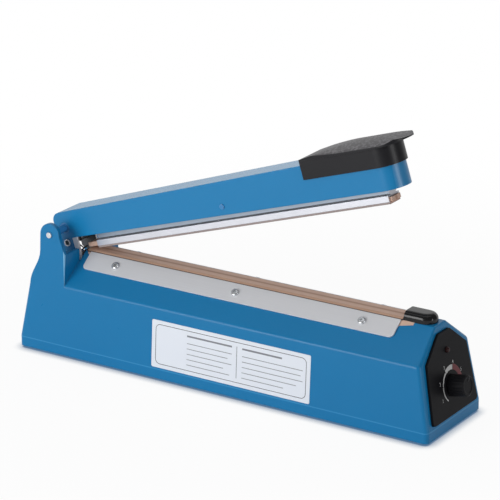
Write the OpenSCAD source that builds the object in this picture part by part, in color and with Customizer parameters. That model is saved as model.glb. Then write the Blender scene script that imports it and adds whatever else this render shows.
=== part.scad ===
// Hand impulse sealer: a housing with a heated ridge, and a sprung arm that presses a bag onto it.
// Places are measured from the housing's left lower end, its middle plane and its lower edge.
// Places on the arm are measured from the hinge pin, with the arm closed.

/* [Housing] */
// Width at the lower edge
body_w = 87; // [84:0.5:96]
// Width across the shoulders
shoulder_w = 79; // [76:0.5:84]
// Height of the shoulders above the lower edge
shoulder_h = 61; // [58:0.5:64]
// Width of the flat ridge
ridge_w = 18; // [17:0.5:22]
// Height of the ridge above the lower edge
ridge_h = 84; // [82:0.5:86]
// Height of the upright skirt
skirt_h = 8.5; // [7:0.5:11]
// Lean of both end faces, in degrees
end_lean = 10.5; // [8:0.5:12]
// Length from the heating bar to the lower right end
end_l = 43; // [41:0.5:60]
// Wall thickness
body_wall = 3; // [2.5:0.25:3.5]
// Wall thickness behind the control panel
end_wall = 5; // [4.5:0.25:6]
// Thickness of the ridge
ridge_wall = 6.5; // [6:0.25:8]
// Radius of the rounded outer edges
edge_r = 4; // [2:0.25:5]
// Radius of the ridge's edges
ridge_r = 1.5; // [0.5:0.25:2]

/* [Hinge] */
// Distance of the hinge pin from the left lower end
hinge_x = 31; // [29:0.5:34]
// Height of the hinge pin above the lower edge
hinge_h = 103; // [101:0.5:105]
// Angle of the open arm, in degrees
open_angle = 17.4; // [15:0.1:18]
// Diameter of the hinge pin
pin_d = 4; // [3.5:0.25:5]
// Diameter of the pin's heads
pin_head_d = 5; // [5:0.25:8]
// Thickness of the pin's heads
pin_head_t = 1.6; // [1:0.1:2.5]
// Outer diameter of the sleeve that turns on the pin
sleeve_d = 9; // [8.5:0.25:10]
// Outer diameter of the spacers between the ears and the arm
spacer_d = 6.5; // [6:0.25:9]
// Radius of the ears round the pin
ear_r = 9.7; // [9:0.1:11]
// Thickness of the ears
ear_t = 3.5; // [3:0.25:5]
// Length of the hinge tower
tower_l = 47; // [46.5:0.25:47.5]
// Height of the tower's inner wall
tower_h = 88; // [86:0.5:89]
// Width of the slot for the arm
slot_w = 34; // [32.5:0.5:40]
// Height of the left end wall between the ears
rear_wall_h = 66; // [64:0.5:70]

/* [Heating bar] */
// Distance from the hinge pin to the heating bar
jaw_x = 20; // [19.5:0.25:22]
// Length of the heating bar
heat_l = 306; // [290:1:340]
// Width of the heating bar
heat_w = 14; // [12:0.5:15]
// Depth of the channel that holds the heating bar
channel_d = 3.5; // [2.5:0.25:4]
// Height of the heating bar above the ridge
bar_proud = 1; // [0.6:0.1:1.4]
// Thickness of the insulating tape
tape_t = 0.4; // [0.3:0.05:0.6]
// Thickness of the heating ribbon
ribbon_t = 0.3; // [0.2:0.05:0.4]
// Width of the heating ribbon
ribbon_w = 2.5; // [2:0.1:4]
// Thickness of the release cloth
cloth_t = 0.3; // [0.2:0.05:0.4]
// Width of the clamp plates
plate_w = 17.5; // [15:0.5:20]
// Thickness of the clamp plates
plate_t = 1.2; // [0.8:0.1:1.8]
// Distance between the clamp screws
clamp_pitch = 120; // [100:1:130]
// Length of the terminal cap
cap_l = 25; // [24:0.5:26]
// Height of the terminal cap
cap_h = 7.5; // [7:0.1:7.8]
// Wall of the terminal cap
cap_wall = 1.6; // [1.2:0.1:2]

/* [Arm] */
// Width of the arm
arm_w = 30.5; // [29.5:0.25:31.5]
// Wall thickness of the arm
arm_wall = 2; // [1.6:0.1:2.2]
// Thickness of the arm's roof
arm_roof = 2.2; // [1.8:0.1:2.6]
// Length of the arm behind the pin
arm_rear = 10; // [9:0.25:11]
// Length of the arm past the heating bar
arm_over = 12; // [10:0.5:14]
// Height of the arm's top above the pin
arm_top = 14; // [13:0.25:15]
// Rise of the arm's top towards its tip
arm_rise = 8; // [6:0.5:9]
// Depth of the arm's walls below the pin
arm_under = 9.2; // [8.5:0.1:9.4]
// Fall of the walls' lower edge towards the tip
arm_fall = 1.4; // [0:0.1:1.6]
// Front of the bracket's tail past the pin
tail_front = 7.5; // [7:0.25:8]
// Depth of the bracket's tail below the pin
tail_drop = 28; // [27:0.25:28.5]
// Sheet thickness of the hinge bracket
bracket_t = 2; // [1.5:0.1:2.2]

/* [Press bar] */
// Travel of the press bar in the arm
float_l = 6; // [5:0.1:6.2]
// Width of the press bar
press_w = 17; // [16:0.5:20]
// Height of the press bar's lower flange
flange_h = 5; // [4:0.25:5.5]
// Width of the press bar's upper rib
rib_w = 11; // [9:0.5:13]
// Height of the press bar's upper rib
rib_h = 5; // [4:0.25:5.2]
// Depth of the groove between the press bar's rib and flange
groove_w = 1.5; // [1:0.1:2]
// Height of that groove
groove_h = 1; // [0.6:0.1:1.4]
// Distance of the press bar's ends from the heating bar's ends
press_inset = 4.5; // [4:0.5:8]
// Width of the pressure pad
pad_w = 16; // [14:0.5:16.5]
// Thickness of the pressure pad
pad_t = 1.6; // [1.2:0.1:2]
// Width of the core strip
core_w = 13; // [11:0.5:13.5]
// Height of the core strip
core_h = 3.6; // [3:0.1:3.8]
// Diameter of the pin that carries the press bar
float_pin_d = 3; // [2.5:0.25:4]

/* [Handle] */
// Length of the handle's skirt
handle_l = 84; // [70:1:100]
// Wall of the handle's skirt
skirt_wall = 1.8; // [1.4:0.1:2.4]
// Depth of the handle's skirt
handle_h = 15.5; // [13:0.5:18]
// Width of the grip pad
grip_w = 39; // [36:0.5:44]
// Thickness of the grip pad at its crown
grip_t = 7; // [6:0.1:7.6]
// Thickness of the grip pad at its two ends
grip_edge = 1; // [0.8:0.1:1.6]
// Thickness of the grip pad along its two sides
grip_rim = 1.8; // [1.4:0.1:2.4]
// Distance of the grip pad's crown from its left end
crown_l = 66; // [58:1:70]
// Overhang of the grip pad past the arm's tip
grip_over = 12; // [8:0.5:18]
// Rise of the grip pad's lip
lip_rise = 2; // [1:0.25:4]

/* [Controls] */
// Width of the border beside the control panel
panel_border = 8; // [7:0.25:9]
// Thickness of the control panel
panel_t = 3.2; // [2.8:0.1:4]
// Height of the timer knob above the skirt
knob_up = 26; // [24:0.5:28]
// Diameter of the timer knob
knob_d = 18; // [17.5:0.5:22]
// Height of the timer knob
knob_h = 14; // [11:0.5:16]
// Number of grooves round the timer knob
knob_grooves = 22; // [16:2:26]
// Height of the lamp above the skirt
lamp_up = 55.5; // [53:0.5:57]
// Diameter of the lamp
lamp_d = 5; // [4:0.5:6]
// Length of the label
label_l = 154; // [120:1:170]
// Height of the label
label_h = 41; // [34:0.5:44]
// Distance of the label from the left lower end
label_x = 138; // [120:1:150]

/* [Base] */
// Height of the housing's lower edge above the table
foot_lift = 2; // [1.5:0.25:4]
// Diameter of the feet
foot_d = 14; // [10:0.5:16]
// Thickness of the base plate
base_t = 1.2; // [0.8:0.1:2]
// Distance of the base plate above the lower edge
base_in = 2.5; // [2.2:0.1:4]
// Diameter of the hole for the mains lead
inlet_d = 7; // [5:0.5:8]
// Distance of the lead's hole from the left lower end
inlet_x = 78; // [70:1:90]
// Height of the lead's hole above the lower edge
inlet_h = 20; // [18:0.5:22]
// Distance of the transformer from the left lower end
trafo_x = 160; // [140:1:250]
// Length of the transformer's core
core_x = 66; // [60:1:72]
// Stack of the transformer's core
core_y = 36; // [30:1:38]
// Height of the transformer's core
core_z = 54; // [48:0.5:55]

/* [Hidden] */
$fn = 64;
hull_fn = 32;

// Fits and spare lengths
hair = 0.05;
gap = 0.3;
over = 1;

// Screw sizes
screw_d = 3.5;
screw_head_d = 7;
screw_head_t = 2;
screw_l = 12;
small_screw_d = 3;
small_head_d = 5.6;
small_head_t = 1.6;

// Housing, worked out
lean = tan(end_lean);
heat_x = hinge_x + jaw_x;
body_l = heat_x + heat_l + end_l;
side_lean = atan((body_w - shoulder_w) / 2 / (shoulder_h - skirt_h));
roof_a = atan((ridge_h - shoulder_h) / ((shoulder_w - ridge_w) / 2));
side_n = [cos(side_lean), sin(side_lean)];
roof_n = [sin(roof_a), cos(roof_a)];
top_n = [0, 1];
roof_z = ridge_h - ridge_wall;
shoulder_in = (side_n + roof_n) / (1 + side_n * roof_n);
ridge_in = (roof_n + top_n) / (1 + roof_n * top_n);
shoulder = [shoulder_w / 2, shoulder_h];
ridge = [ridge_w / 2, ridge_h];

function end_in(z) = lean * max(0, z - skirt_h);
function side_half(z) = body_w / 2 - tan(side_lean) * (z - skirt_h);

// Hinge, worked out
ear_root = shoulder_h - body_wall;
neck_drop = 15;
ear_neck = hinge_h - neck_drop;
ear_steps = 8;
ear_start = end_in(ear_root) + edge_r / 2;
pin_seat = side_half(hinge_h + pin_head_d / 2);

// Heating bar, worked out
tape_z = ridge_h + bar_proud;
ribbon_z = tape_z + tape_t;
cloth_z = ribbon_z + ribbon_t;
cloth_top = cloth_z + cloth_t;
cloth_hidden = 2;
clamp_mid = heat_x + heat_l / 2 + 1;
plate_top = 0.5;
plate_left = 3.5;
plate_right = 0.5;
plate_r = 4;
cloth_fall = plate_top + plate_w - cloth_hidden;
clamp_count = 3;
cap_gap = 1.2;
cap_r = 5;
cap_x = heat_x + heat_l + cap_gap;
terminal_gap = 2;
ribbon_drop = 0.6;
terminal_l = 13;
terminal_w = 9;
terminal_h = 6;
left_terminal_in = 17;
left_terminal_x = heat_x + left_terminal_in;
right_terminal_x = heat_x + heat_l + terminal_gap;
left_screw_x = left_terminal_x + terminal_l / 2;
right_screw_x = right_terminal_x + terminal_l / 4;
right_lead_x = right_terminal_x + terminal_l * 3 / 4;
terminal_bite = 2;
terminal_screw_l = terminal_h + ribbon_t + terminal_bite;

// Arm, worked out
arm_reach = jaw_x + heat_l + arm_over;
arm_r = arm_w / 2;
arm_in = arm_r - arm_wall;
arm_slope = arm_rise / arm_reach;
arm_corner = 7;
function arm_roof_z(x) = arm_top + arm_slope * x - arm_roof;
bracket_out = arm_in - hair;
bracket_in = bracket_out - bracket_t;
bracket_back = arm_rear - arm_wall - hair;
bracket_front = 26;
web_x = arm_corner - bracket_back;
web_z = arm_roof_z(-bracket_back) - gap;
tail_back = 9;
tail_heel = 22;
nose_x = 3;
nose_half = 2.5;
nose_drop = tail_drop + 2;
spring_pin_at = [-2.8, -13.2];
spring_pin_d = 6;
spring_pin_bore = 4.6;
bracket_bolt_x = 8.5;
bracket_screw_l = bracket_t + gap + arm_roof;

// Press bar, worked out with the arm open
jaw_clear = 0.3;
pad_z = cloth_top + jaw_clear - hinge_h - float_l;
pad_seat = pad_z + cloth_t;
press_z = pad_seat + pad_t;
flange_z = press_z + flange_h;
rib_z = flange_z + rib_h;
core_top = press_z + core_h;
press_x0 = jaw_x + press_inset;
press_x1 = jaw_x + heat_l - press_inset;
press_mid = jaw_x + heat_l / 2;
lug_x = press_mid - 5;
core_left = 11;
core_right = 2;
float_pin_z = -2.6;
lug_l = 16;
lug_w = 6;
lug_top = 4;
spring_from_mid = 85;
float_spring_xs = [press_mid - spring_from_mid, press_mid + spring_from_mid];
float_spring_d = 10;
float_wire = 1.1;
float_turns = 7;
post_d = 6;
post_l = 6;

// Handle, worked out
handle_x = arm_reach - handle_l;
handle_cover = 2;
handle_top = arm_top + arm_rise + handle_cover;
grip_end = arm_reach + grip_over;
lip_l = 20;
lip_x = arm_reach - lip_l;
crown_x = handle_x + crown_l;
crown_sag = grip_t - grip_rim;
crown_r = (grip_w * grip_w / 4 + crown_sag * crown_sag) / (2 * crown_sag);
grip_steps = 12;
handle_screw_l = 6.5;

// Controls, worked out on the right end face
panel_proud = 2.2;
panel_r = 3;
panel_low = 3;
panel_dip = 1;
panel_top = 6;
panel_back = panel_proud - panel_t;
bush_d = 9;
nut_d = 12;
nut_t = 2;
pot_d = 17;
pot_t = 9;
shaft_d = 6;
knob_gap = 0.6;
knob_n = panel_proud + knob_gap;
knob_chamfer = 1;
knob_cup_d = 15;
knob_cup_h = 3;
knob_mark = 150;
board_n = -end_wall - pot_t;
board_t = 1.6;
board_w = 52;
board_h = 46;
board_up = 8;
knob_out = (knob_n + knob_h) * cos(end_lean) - (knob_up - knob_d / 2 + knob_chamfer) * sin(end_lean);
label_t = 0.3;
label_proud = 0.05;
label_up = 1.5;

// Base, worked out
left_x = -(body_l + knob_out) / 2;
base_top = base_in + base_t;
boss_d = 9;
boss_h = 28;
boss_x = 20;
boss_into_wall = 0.5;
boss_y = body_w / 2 - body_wall - boss_d / 2 + boss_into_wall;
foot_x = 60;
foot_y = 27;
gland_d = 13;
gland_flange = 17;
gland_seat = side_half(inlet_h + gland_flange / 2);
gland_in = 7;
gland_grip = gland_seat - body_wall / cos(side_lean) - 2 * gap;
leg_x = core_x / 6;
window_x = leg_x * 3 / 2;
window_z = core_z - 2 * leg_x;
coil_clear = 0.4;
coil_t = 9;
strap_t = 1.5;
strap_w = 24;
strap_foot = 14;
bolt_x = core_x / 2 + strap_t + strap_foot / 2;
coil_top = base_top + leg_x + window_z - coil_clear;
lead_d = 2.2;
lead_rise = 14;
lead_z = coil_top + lead_rise;
lead_under = 5;
lead_run_z = roof_z - lead_under;
lead_bend = 30;
lead_turn = 4;

// Switch under the tail of the arm
switch_l = 27;
switch_w = 10;
switch_h = 16;
switch_x = hinge_x + nose_x;
switch_y = bracket_out - bracket_t / 2;
plunger_d = 3;
plunger_l = 6;
plunger_travel = 1;
plunger_clear = 0.5;
plunger_out = 2.7;
plunger_top = hinge_h - nose_drop - plunger_clear + plunger_travel;
switch_top = plunger_top - plunger_out;
switch_hole = 9.5;
switch_hole_drop = 12;
switch_hole_z = switch_top - switch_hole_drop;
bracket_y = switch_y + switch_w / 2 + hair;
switch_sheet = 1.5;
switch_foot = 10;
switch_foot_x = 7;

// Return spring between the arm's tail and the housing
anchor_from_pin = [27, -47];
anchor_at = [hinge_x, hinge_h] + anchor_from_pin;
anchor_d = 4;
anchor_lug_t = 3;
anchor_lug_y = 6;
return_wire = 1.3;
return_turns = 9;
return_coil_r = spring_pin_d / 2 + return_wire / 2 + gap;

function turned(p, a) = [p.x * cos(a) - p.y * sin(a), p.x * sin(a) + p.y * cos(a)];
spring_pin_open = [hinge_x, hinge_h] + turned(spring_pin_at, open_angle);

// The slot in the ridge ends past the arm's tail and past the spring
well_clear = 1.4;
tail_end = hinge_x + tail_front * cos(open_angle) + tail_drop * sin(open_angle) + well_clear;
spring_run = anchor_at - spring_pin_open;
spring_half = (return_coil_r + return_wire / 2 + gap) * norm(spring_run) / abs(spring_run.y);
spring_end = spring_pin_open.x + (roof_z - spring_pin_open.y) * spring_run.x / spring_run.y + spring_half;
well_end = max(tail_end, spring_end);

// Frames of the arm and of the housing's faces
module datum() {
    translate([left_x, 0, foot_lift]) children();
}

module arm_frame() {
    translate([hinge_x, 0, hinge_h]) rotate([0, -open_angle, 0]) children();
}

module end_frame() {
    translate([body_l, 0, skirt_h]) rotate([0, -end_lean, 0]) children();
}

module roof_frame(side) {
    mirror([0, side > 0 ? 1 : 0, 0])
        translate([0, -ridge_w / 2, ridge_h]) rotate([roof_a, 0, 0]) children();
}

module side_frame() {
    translate([0, -body_w / 2, skirt_h]) rotate([-side_lean, 0, 0]) children();
}

// Shapes that repeat
module rod_y(d, y0, y1) {
    translate([0, y1, 0]) rotate([90, 0, 0]) cylinder(d = d, h = y1 - y0);
}

module rod_x(d, x0, x1) {
    translate([x0, 0, 0]) rotate([0, 90, 0]) cylinder(d = d, h = x1 - x0);
}

// A side view in X and Z, drawn out along Y
module drawn_y(y0, y1) {
    translate([0, y1, 0]) rotate([90, 0, 0]) linear_extrude(y1 - y0) children();
}

// An end view in Y and Z, drawn out along X
module drawn_x(x0, x1) {
    translate([x0, 0, 0]) rotate([90, 0, 90]) linear_extrude(x1 - x0) children();
}

// A block that is even about the middle plane
module block(x0, x1, w, z0, z1) {
    translate([x0, -w / 2, z0]) cube([x1 - x0, w, z1 - z0]);
}

// A pan head screw with its seat at the origin and its shank pointing down
module screw(d, l, head_d, head_t) {
    slot_w = head_d / 6;
    slot_d = head_t / 2;
    translate([0, 0, -l]) cylinder(d = d, h = l);
    difference() {
        cylinder(d = head_d, h = head_t);
        for (a = [0, 90])
            rotate([0, 0, a])
                translate([-head_d / 4, -slot_w / 2, head_t - slot_d])
                    cube([head_d / 2, slot_w, head_t]);
    }
}

// A flat outline moved sideways by t, with mitred corners
function unit(v) = v / norm(v);
function left_of(a, b) = let (d = unit(b - a)) [-d.y, d.x];
function moved(p, t) = [
    for (i = [0:len(p) - 1])
        let (n0 = left_of(p[max(i - 1, 0)], p[max(i, 1)]))
        let (n1 = left_of(p[min(i, len(p) - 2)], p[min(i + 1, len(p) - 1)]))
        p[i] + t * (n0 + n1) / (1 + n0 * n1)
];
function reversed(p) = [for (i = [len(p) - 1:-1:0]) p[i]];

// A strip of thickness t to the left of a flat path
module strip(p, t) {
    polygon(concat(p, reversed(moved(p, t))));
}

// A round wire swept along a path in space
wire_sides = 6;
function heading(p, i) = unit(p[min(i + 1, len(p) - 1)] - p[max(i - 1, 0)]);
function across(v, t) = unit(v - (v * t) * t);
function normals(p, first) = [
    for (i = 0, n = across(first, heading(p, 0)); i < len(p); i = i + 1, n = across(n, heading(p, i))) n
];
function least_gap(p, d, apart) = min([
    for (i = [0:len(p) - 1])
        for (j = [i + apart:1:len(p) - 1])
            norm(p[i] - p[j]) - d
]);

module swept(p, d, first) {
    side = normals(p, first);
    points = [
        for (i = [0:len(p) - 1])
            for (k = [0:wire_sides - 1])
                let (a = 360 * k / wire_sides)
                p[i] + d / 2 * (cos(a) * side[i] + sin(a) * cross(heading(p, i), side[i]))
    ];
    last = (len(p) - 1) * wire_sides;
    walls = [
        for (i = [0:len(p) - 2])
            for (k = [0:wire_sides - 1])
                let (a = i * wire_sides + k, b = i * wire_sides + (k + 1) % wire_sides)
                each [[a, a + wire_sides, b], [b, a + wire_sides, b + wire_sides]]
    ];
    ends = [
        for (k = [1:wire_sides - 2])
            each [[0, k, k + 1], [last, last + k + 1, last + k]]
    ];
    polyhedron(points, concat(walls, ends));
}

// Housing
module body_outer() {
    hull() {
        for (end = [0, 1])
            for (side = [-1, 1])
                translate([end * body_l, 0, 0]) mirror([end, 0, 0]) {
                    translate([edge_r, side * (body_w / 2 - edge_r), 0])
                        cylinder(r = edge_r, h = skirt_h, $fn = hull_fn);
                    body_corner(shoulder, shoulder_in, edge_r, side);
                    body_corner(ridge, ridge_in, ridge_r, side);
                }
    }
}

// A ball that touches the end face and the two faces that meet at an edge
module body_corner(edge, inward, r, side) {
    x = end_in(edge.y) + r * (1 - sin(end_lean) * inward.y) / cos(end_lean);
    translate([x, side * (edge.x - r * inward.x), edge.y - r * inward.y])
        sphere(r = r, $fn = hull_fn);
}

module body_cavity() {
    inner = shoulder - body_wall * shoulder_in;
    roof_y = inner.x - (roof_z - inner.y) / tan(roof_a);
    half = [[body_w / 2 - body_wall, -over], [body_w / 2 - body_wall, skirt_h], inner, [roof_y, roof_z]];
    top_in = end_in(roof_z);
    intersection() {
        drawn_x(0, body_l)
            polygon(concat(half, reversed([for (p = half) [-p.x, p.y]])));
        drawn_y(-body_w, body_w)
            polygon([
                [body_wall, -over], [body_wall, skirt_h], [top_in + body_wall, roof_z],
                [body_l - top_in - end_wall, roof_z], [body_l - end_wall, skirt_h],
                [body_l - end_wall, -over]
            ]);
    }
}

// The space between the two side faces, carried on upwards, less an inset
module between_sides(inset, z0, z1, x0, x1) {
    drawn_x(x0, x1)
        polygon([
            [inset - side_half(z0), z0], [side_half(z0) - inset, z0],
            [side_half(z1) - inset, z1], [inset - side_half(z1), z1]
        ]);
}

module ear_outline() {
    neck_x = hinge_x - ear_r;
    curve = [
        for (i = [0:ear_steps])
            let (t = i / ear_steps)
            [ear_start + (neck_x - ear_start) * (1 - cos(180 * t)) / 2, ear_root + (ear_neck - ear_root) * t]
    ];
    polygon(concat(curve, [
        [neck_x, hinge_h], [hinge_x + ear_r, hinge_h], [tower_l, tower_h], [tower_l, ear_root]
    ]));
    translate([hinge_x, hinge_h]) circle(r = ear_r);
}

module hinge_tower() {
    top = hinge_h + ear_r + over;
    intersection() {
        drawn_y(-body_w, body_w) ear_outline();
        difference() {
            between_sides(0, ear_root, top, 0, body_l);
            between_sides(ear_t, ear_root - over, top + over, -over, body_l + over);
        }
    }
    between_sides(0, ear_root, tower_h, tower_l - body_wall, tower_l);
}

module hinge_well() {
    top = hinge_h + ear_r + over;
    intersection() {
        between_sides(ear_t, ear_root, top, -over, body_l);
        drawn_y(-body_w, body_w)
            polygon([
                [end_in(ear_root) + body_wall, ear_root], [end_in(rear_wall_h) + body_wall, rear_wall_h],
                [-over, rear_wall_h], [-over, top],
                [tower_l - body_wall, top], [tower_l - body_wall, ear_root]
            ]);
    }
    block(tower_l - body_wall - over, well_end, slot_w, shoulder_h, top);
}

module heater_channel() {
    x0 = heat_x - 2 * ribbon_drop;
    floor_z = ridge_h - channel_d;
    block(x0, heat_x + heat_l + hair, heat_w + 2 * hair, floor_z, ridge_h + over);
    block(x0, heat_x, ribbon_w + 2 * gap, roof_z - over, ridge_h);
}

// Places of the clamp screws on one upper face
module at_clamp_screws(side) {
    for (i = [0:clamp_count - 1])
        roof_frame(side)
            translate([
                clamp_mid + (i - (clamp_count - 1) / 2) * clamp_pitch,
                -plate_top - plate_w / 2,
                cloth_t + plate_t
            ])
                children();
}

module at_bosses() {
    for (x = [boss_x, body_l - boss_x])
        for (y = [-boss_y, boss_y])
            translate([x, y, 0]) children();
}

module panel_outline(grow) {
    low = [body_w / 2 - panel_border, panel_low];
    mid = shoulder - [panel_border, panel_dip + skirt_h];
    top = ridge - [0, panel_top + skirt_h];
    half = [low, [mid.x, mid.y / cos(end_lean)], [top.x, top.y / cos(end_lean)]];
    offset(r = panel_r + grow)
        offset(delta = -panel_r)
            polygon(concat(half, reversed([for (p = half) [-p.x, p.y]])));
}

// A plate on the right end face, between two distances along its outward normal
module end_plate(n0, n1, grow = 0) {
    end_frame() drawn_x(n0, n1) panel_outline(grow);
}

module end_hole(d, up, n0, n1) {
    end_frame() translate([0, 0, up]) rod_x(d, n0, n1);
}

module body_shell() {
    color("#2f78b4") {
        difference() {
            union() {
                body_outer();
                hinge_tower();
            }
            body_cavity();
            hinge_well();
            heater_channel();
            translate([hinge_x, 0, hinge_h]) {
                rod_y(pin_d + 2 * hair, -body_w, body_w);
                for (side = [0, 1])
                    mirror([0, side, 0]) rod_y(pin_head_d + 2 * hair, pin_seat, body_w);
            }
            for (side = [-1, 1])
                at_clamp_screws(side)
                    translate([0, 0, -screw_l - over]) cylinder(d = screw_d + 2 * hair, h = screw_l + over);
            end_plate(panel_back, over, hair);
            end_hole(bush_d + 2 * hair, knob_up, -end_wall - over, 0);
            end_hole(lamp_d + 2 * hair, lamp_up, -end_wall - over, 0);
            translate([inlet_x, 0, inlet_h]) {
                rod_y(gland_d + 2 * hair, 0, body_w);
                rod_y(gland_flange + 2 * hair, gland_seat, body_w);
            }
            side_frame()
                translate([label_x - hair, -over, label_up - hair])
                    cube([label_l + 2 * hair, over + label_t - label_proud, label_h + 2 * hair]);
            translate([right_lead_x, 0, roof_z - over])
                cylinder(d = small_screw_d, h = ridge_wall + 2 * over);
            translate([right_screw_x, 0, roof_z - over])
                cylinder(d = small_screw_d + 2 * hair, h = ridge_wall + 2 * over);
            translate([left_screw_x, 0, roof_z - over])
                cylinder(d = small_screw_d + 2 * hair, h = over + terminal_bite + hair);
        }
        at_bosses()
            translate([0, 0, base_top])
                difference() {
                    cylinder(d = boss_d, h = boss_h);
                    translate([0, 0, -over]) cylinder(d = screw_d + 2 * hair, h = screw_l + 2 * over);
                }
        for (side = [-1, 1])
            translate([anchor_at.x, side * anchor_lug_y, anchor_at.y])
                difference() {
                    block(-anchor_d, anchor_d, anchor_lug_t, -anchor_d, roof_z + over - anchor_at.y);
                    rod_y(anchor_d + 2 * hair, -body_w, body_w);
                }
    }
}

// Base
module base_plate() {
    inset = body_wall + gap;
    slot_l = 30;
    slot_t = 3;
    slot_step = 9;
    slot_count = 8;
    color("#b8bcc0")
        difference() {
            block(inset, body_l - end_wall - gap, body_w - 2 * inset, base_in, base_top);
            at_bosses()
                translate([0, 0, base_in - over]) cylinder(d = screw_d + 2 * hair, h = base_t + 2 * over);
            for (side = [-1, 1])
                translate([trafo_x + side * bolt_x, 0, base_in - over])
                    cylinder(d = screw_d + 2 * hair, h = base_t + 2 * over);
            at_bracket_screws()
                translate([0, 0, base_in - over])
                    cylinder(d = small_screw_d + 2 * hair, h = base_t + 2 * over);
            for (i = [0:slot_count - 1])
                translate([trafo_x + core_x + slot_l + i * slot_step, -slot_l / 2, base_in - over])
                    cube([slot_t, slot_l, base_t + 2 * over]);
        }
}

module rubber_feet() {
    hollow = 6;
    color("#202022")
        for (x = [foot_x, body_l - foot_x])
            for (y = [-foot_y, foot_y])
                translate([x, y, -foot_lift])
                    difference() {
                        cylinder(d1 = foot_d - foot_lift, d2 = foot_d, h = base_in + foot_lift);
                        translate([0, 0, -over]) cylinder(d = hollow, h = over + foot_lift / 2);
                    }
}

module base_screws() {
    color("#9a9ca0")
        at_bosses()
            translate([0, 0, base_in]) mirror([0, 0, 1]) screw(screw_d, screw_l, screw_head_d, screw_head_t);
}

module label_plate() {
    corner = 1.5;
    color("#f2f2f0")
        side_frame()
            translate([label_x, -label_proud, label_up])
                drawn_y(0, label_t)
                    union() {
                        translate([corner, 0]) square([label_l - 2 * corner, label_h]);
                        translate([0, corner]) square([label_l, label_h - 2 * corner]);
                        for (x = [corner, label_l - corner])
                            for (z = [corner, label_h - corner])
                                translate([x, z]) circle(r = corner);
                    }
}

// Hinge
module hinge_pin() {
    color("#c9ccd0")
        translate([hinge_x, 0, hinge_h]) {
            rod_y(pin_d, -pin_seat - over / 2, pin_seat + over / 2);
            for (side = [0, 1])
                mirror([0, side, 0]) rod_y(pin_head_d, pin_seat, pin_seat + pin_head_t);
        }
}

module pin_spacers() {
    inner = arm_r + gap;
    outer = side_half(hinge_h + spacer_d / 2) - ear_t - hair;
    color("#8d9094")
        translate([hinge_x, 0, hinge_h])
            for (side = [0, 1])
                mirror([0, side, 0])
                    difference() {
                        rod_y(spacer_d, inner, outer);
                        rod_y(pin_d + 2 * hair, inner - over, outer + over);
                    }
}

// Heating bar
module heater_bar() {
    color("#8a8c8e")
        block(heat_x, heat_x + heat_l, heat_w, ridge_h - channel_d, tape_z);
}

module insulating_tape() {
    color("#d8d2c0")
        block(heat_x, heat_x + heat_l, heat_w, tape_z, ribbon_z);
}

module heating_ribbon() {
    left_end = left_terminal_x + terminal_l;
    right_end = right_terminal_x + terminal_l;
    bend_x = heat_x - ribbon_drop;
    path = [[left_end, roof_z], [bend_x, roof_z], [bend_x, ribbon_z], [right_end, ribbon_z]];
    color("#a8a29a")
        difference() {
            union() {
                drawn_y(-ribbon_w / 2, ribbon_w / 2) strip(path, ribbon_t);
                block(left_terminal_x, left_end, small_head_d, roof_z - ribbon_t, roof_z);
                block(right_terminal_x, right_end, small_head_d, ribbon_z, ribbon_z + ribbon_t);
            }
            for (at = [[left_screw_x, roof_z], [right_screw_x, ribbon_z]])
                translate([at.x, 0, at.y - over]) cylinder(d = small_screw_d + 2 * hair, h = 2 * over);
        }
}

// The cloth lies over the bar and runs down both upper faces, under the clamp plates
module release_cloth() {
    foot = [ridge.x + cloth_fall * cos(roof_a), ridge.y - cloth_fall * sin(roof_a)];
    top = [heat_w / 2, cloth_z];
    path = [[-foot.x, foot.y], [-ridge.x, ridge.y], [-top.x, top.y], top, ridge, foot];
    end_x = heat_x - 2 * ribbon_drop;
    color("#a08270")
        difference() {
            union() {
                drawn_x(end_x, heat_x + heat_l) strip(path, cloth_t);
                block(end_x - cloth_t, end_x, heat_w, ridge_h, cloth_top);
            }
            for (side = [-1, 1])
                at_clamp_screws(side)
                    translate([0, 0, -screw_l]) cylinder(d = screw_d + 2 * hair, h = 2 * screw_l);
        }
}

module clamp_plate(side) {
    l = heat_l - plate_left - plate_right;
    difference() {
        roof_frame(side)
            translate([heat_x + plate_left, -plate_top - plate_w, cloth_t])
                linear_extrude(plate_t)
                    union() {
                        translate([0, plate_r]) square([l, plate_w - plate_r]);
                        translate([plate_r, 0]) square([l - 2 * plate_r, plate_w]);
                        for (x = [plate_r, l - plate_r])
                            translate([x, plate_r]) circle(r = plate_r);
                    }
        at_clamp_screws(side)
            translate([0, 0, -screw_l]) cylinder(d = screw_d + 2 * hair, h = 2 * screw_l);
    }
}

module front_clamp_plate() {
    color("#b8b8bb") clamp_plate(-1);
}

module rear_clamp_plate() {
    color("#b8b8bb") clamp_plate(1);
}

module clamp_screws() {
    color("#cfd1d4")
        for (side = [-1, 1])
            at_clamp_screws(side) screw(screw_d, screw_l, screw_head_d, screw_head_t);
}

// A round-topped tunnel, open below
module cap_tunnel(x0, x1, half, r, z0) {
    for (side = [-1, 1])
        translate([0, side * (half - r), ridge_h + cap_h - cap_r]) rod_x(2 * r, x0, x1, $fn = hull_fn);
    block(x0, x1, 2 * half, z0, ridge_h + cap_h - cap_r);
}

module terminal_cap() {
    half = ridge_w / 2;
    end_x = cap_x + cap_l - half;
    end_step = 30;
    color("#17171a")
        difference() {
            hull() {
                cap_tunnel(cap_x, end_x, half, cap_r, ridge_h);
                translate([end_x, 0, ridge_h]) {
                    cylinder(r = half, h = cap_h - cap_r, $fn = hull_fn);
                    for (turn = [-90:end_step:90])
                        rotate([0, 0, turn])
                            translate([half - cap_r, 0, cap_h - cap_r]) sphere(r = cap_r, $fn = hull_fn);
                }
            }
            hull() cap_tunnel(cap_x - over, end_x, half - cap_wall, cap_r - cap_wall, ridge_h - over);
            block(cap_x - over, cap_x + cap_l + over, ridge_w + over, ridge_h - cap_r, ridge_h);
        }
}

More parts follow.
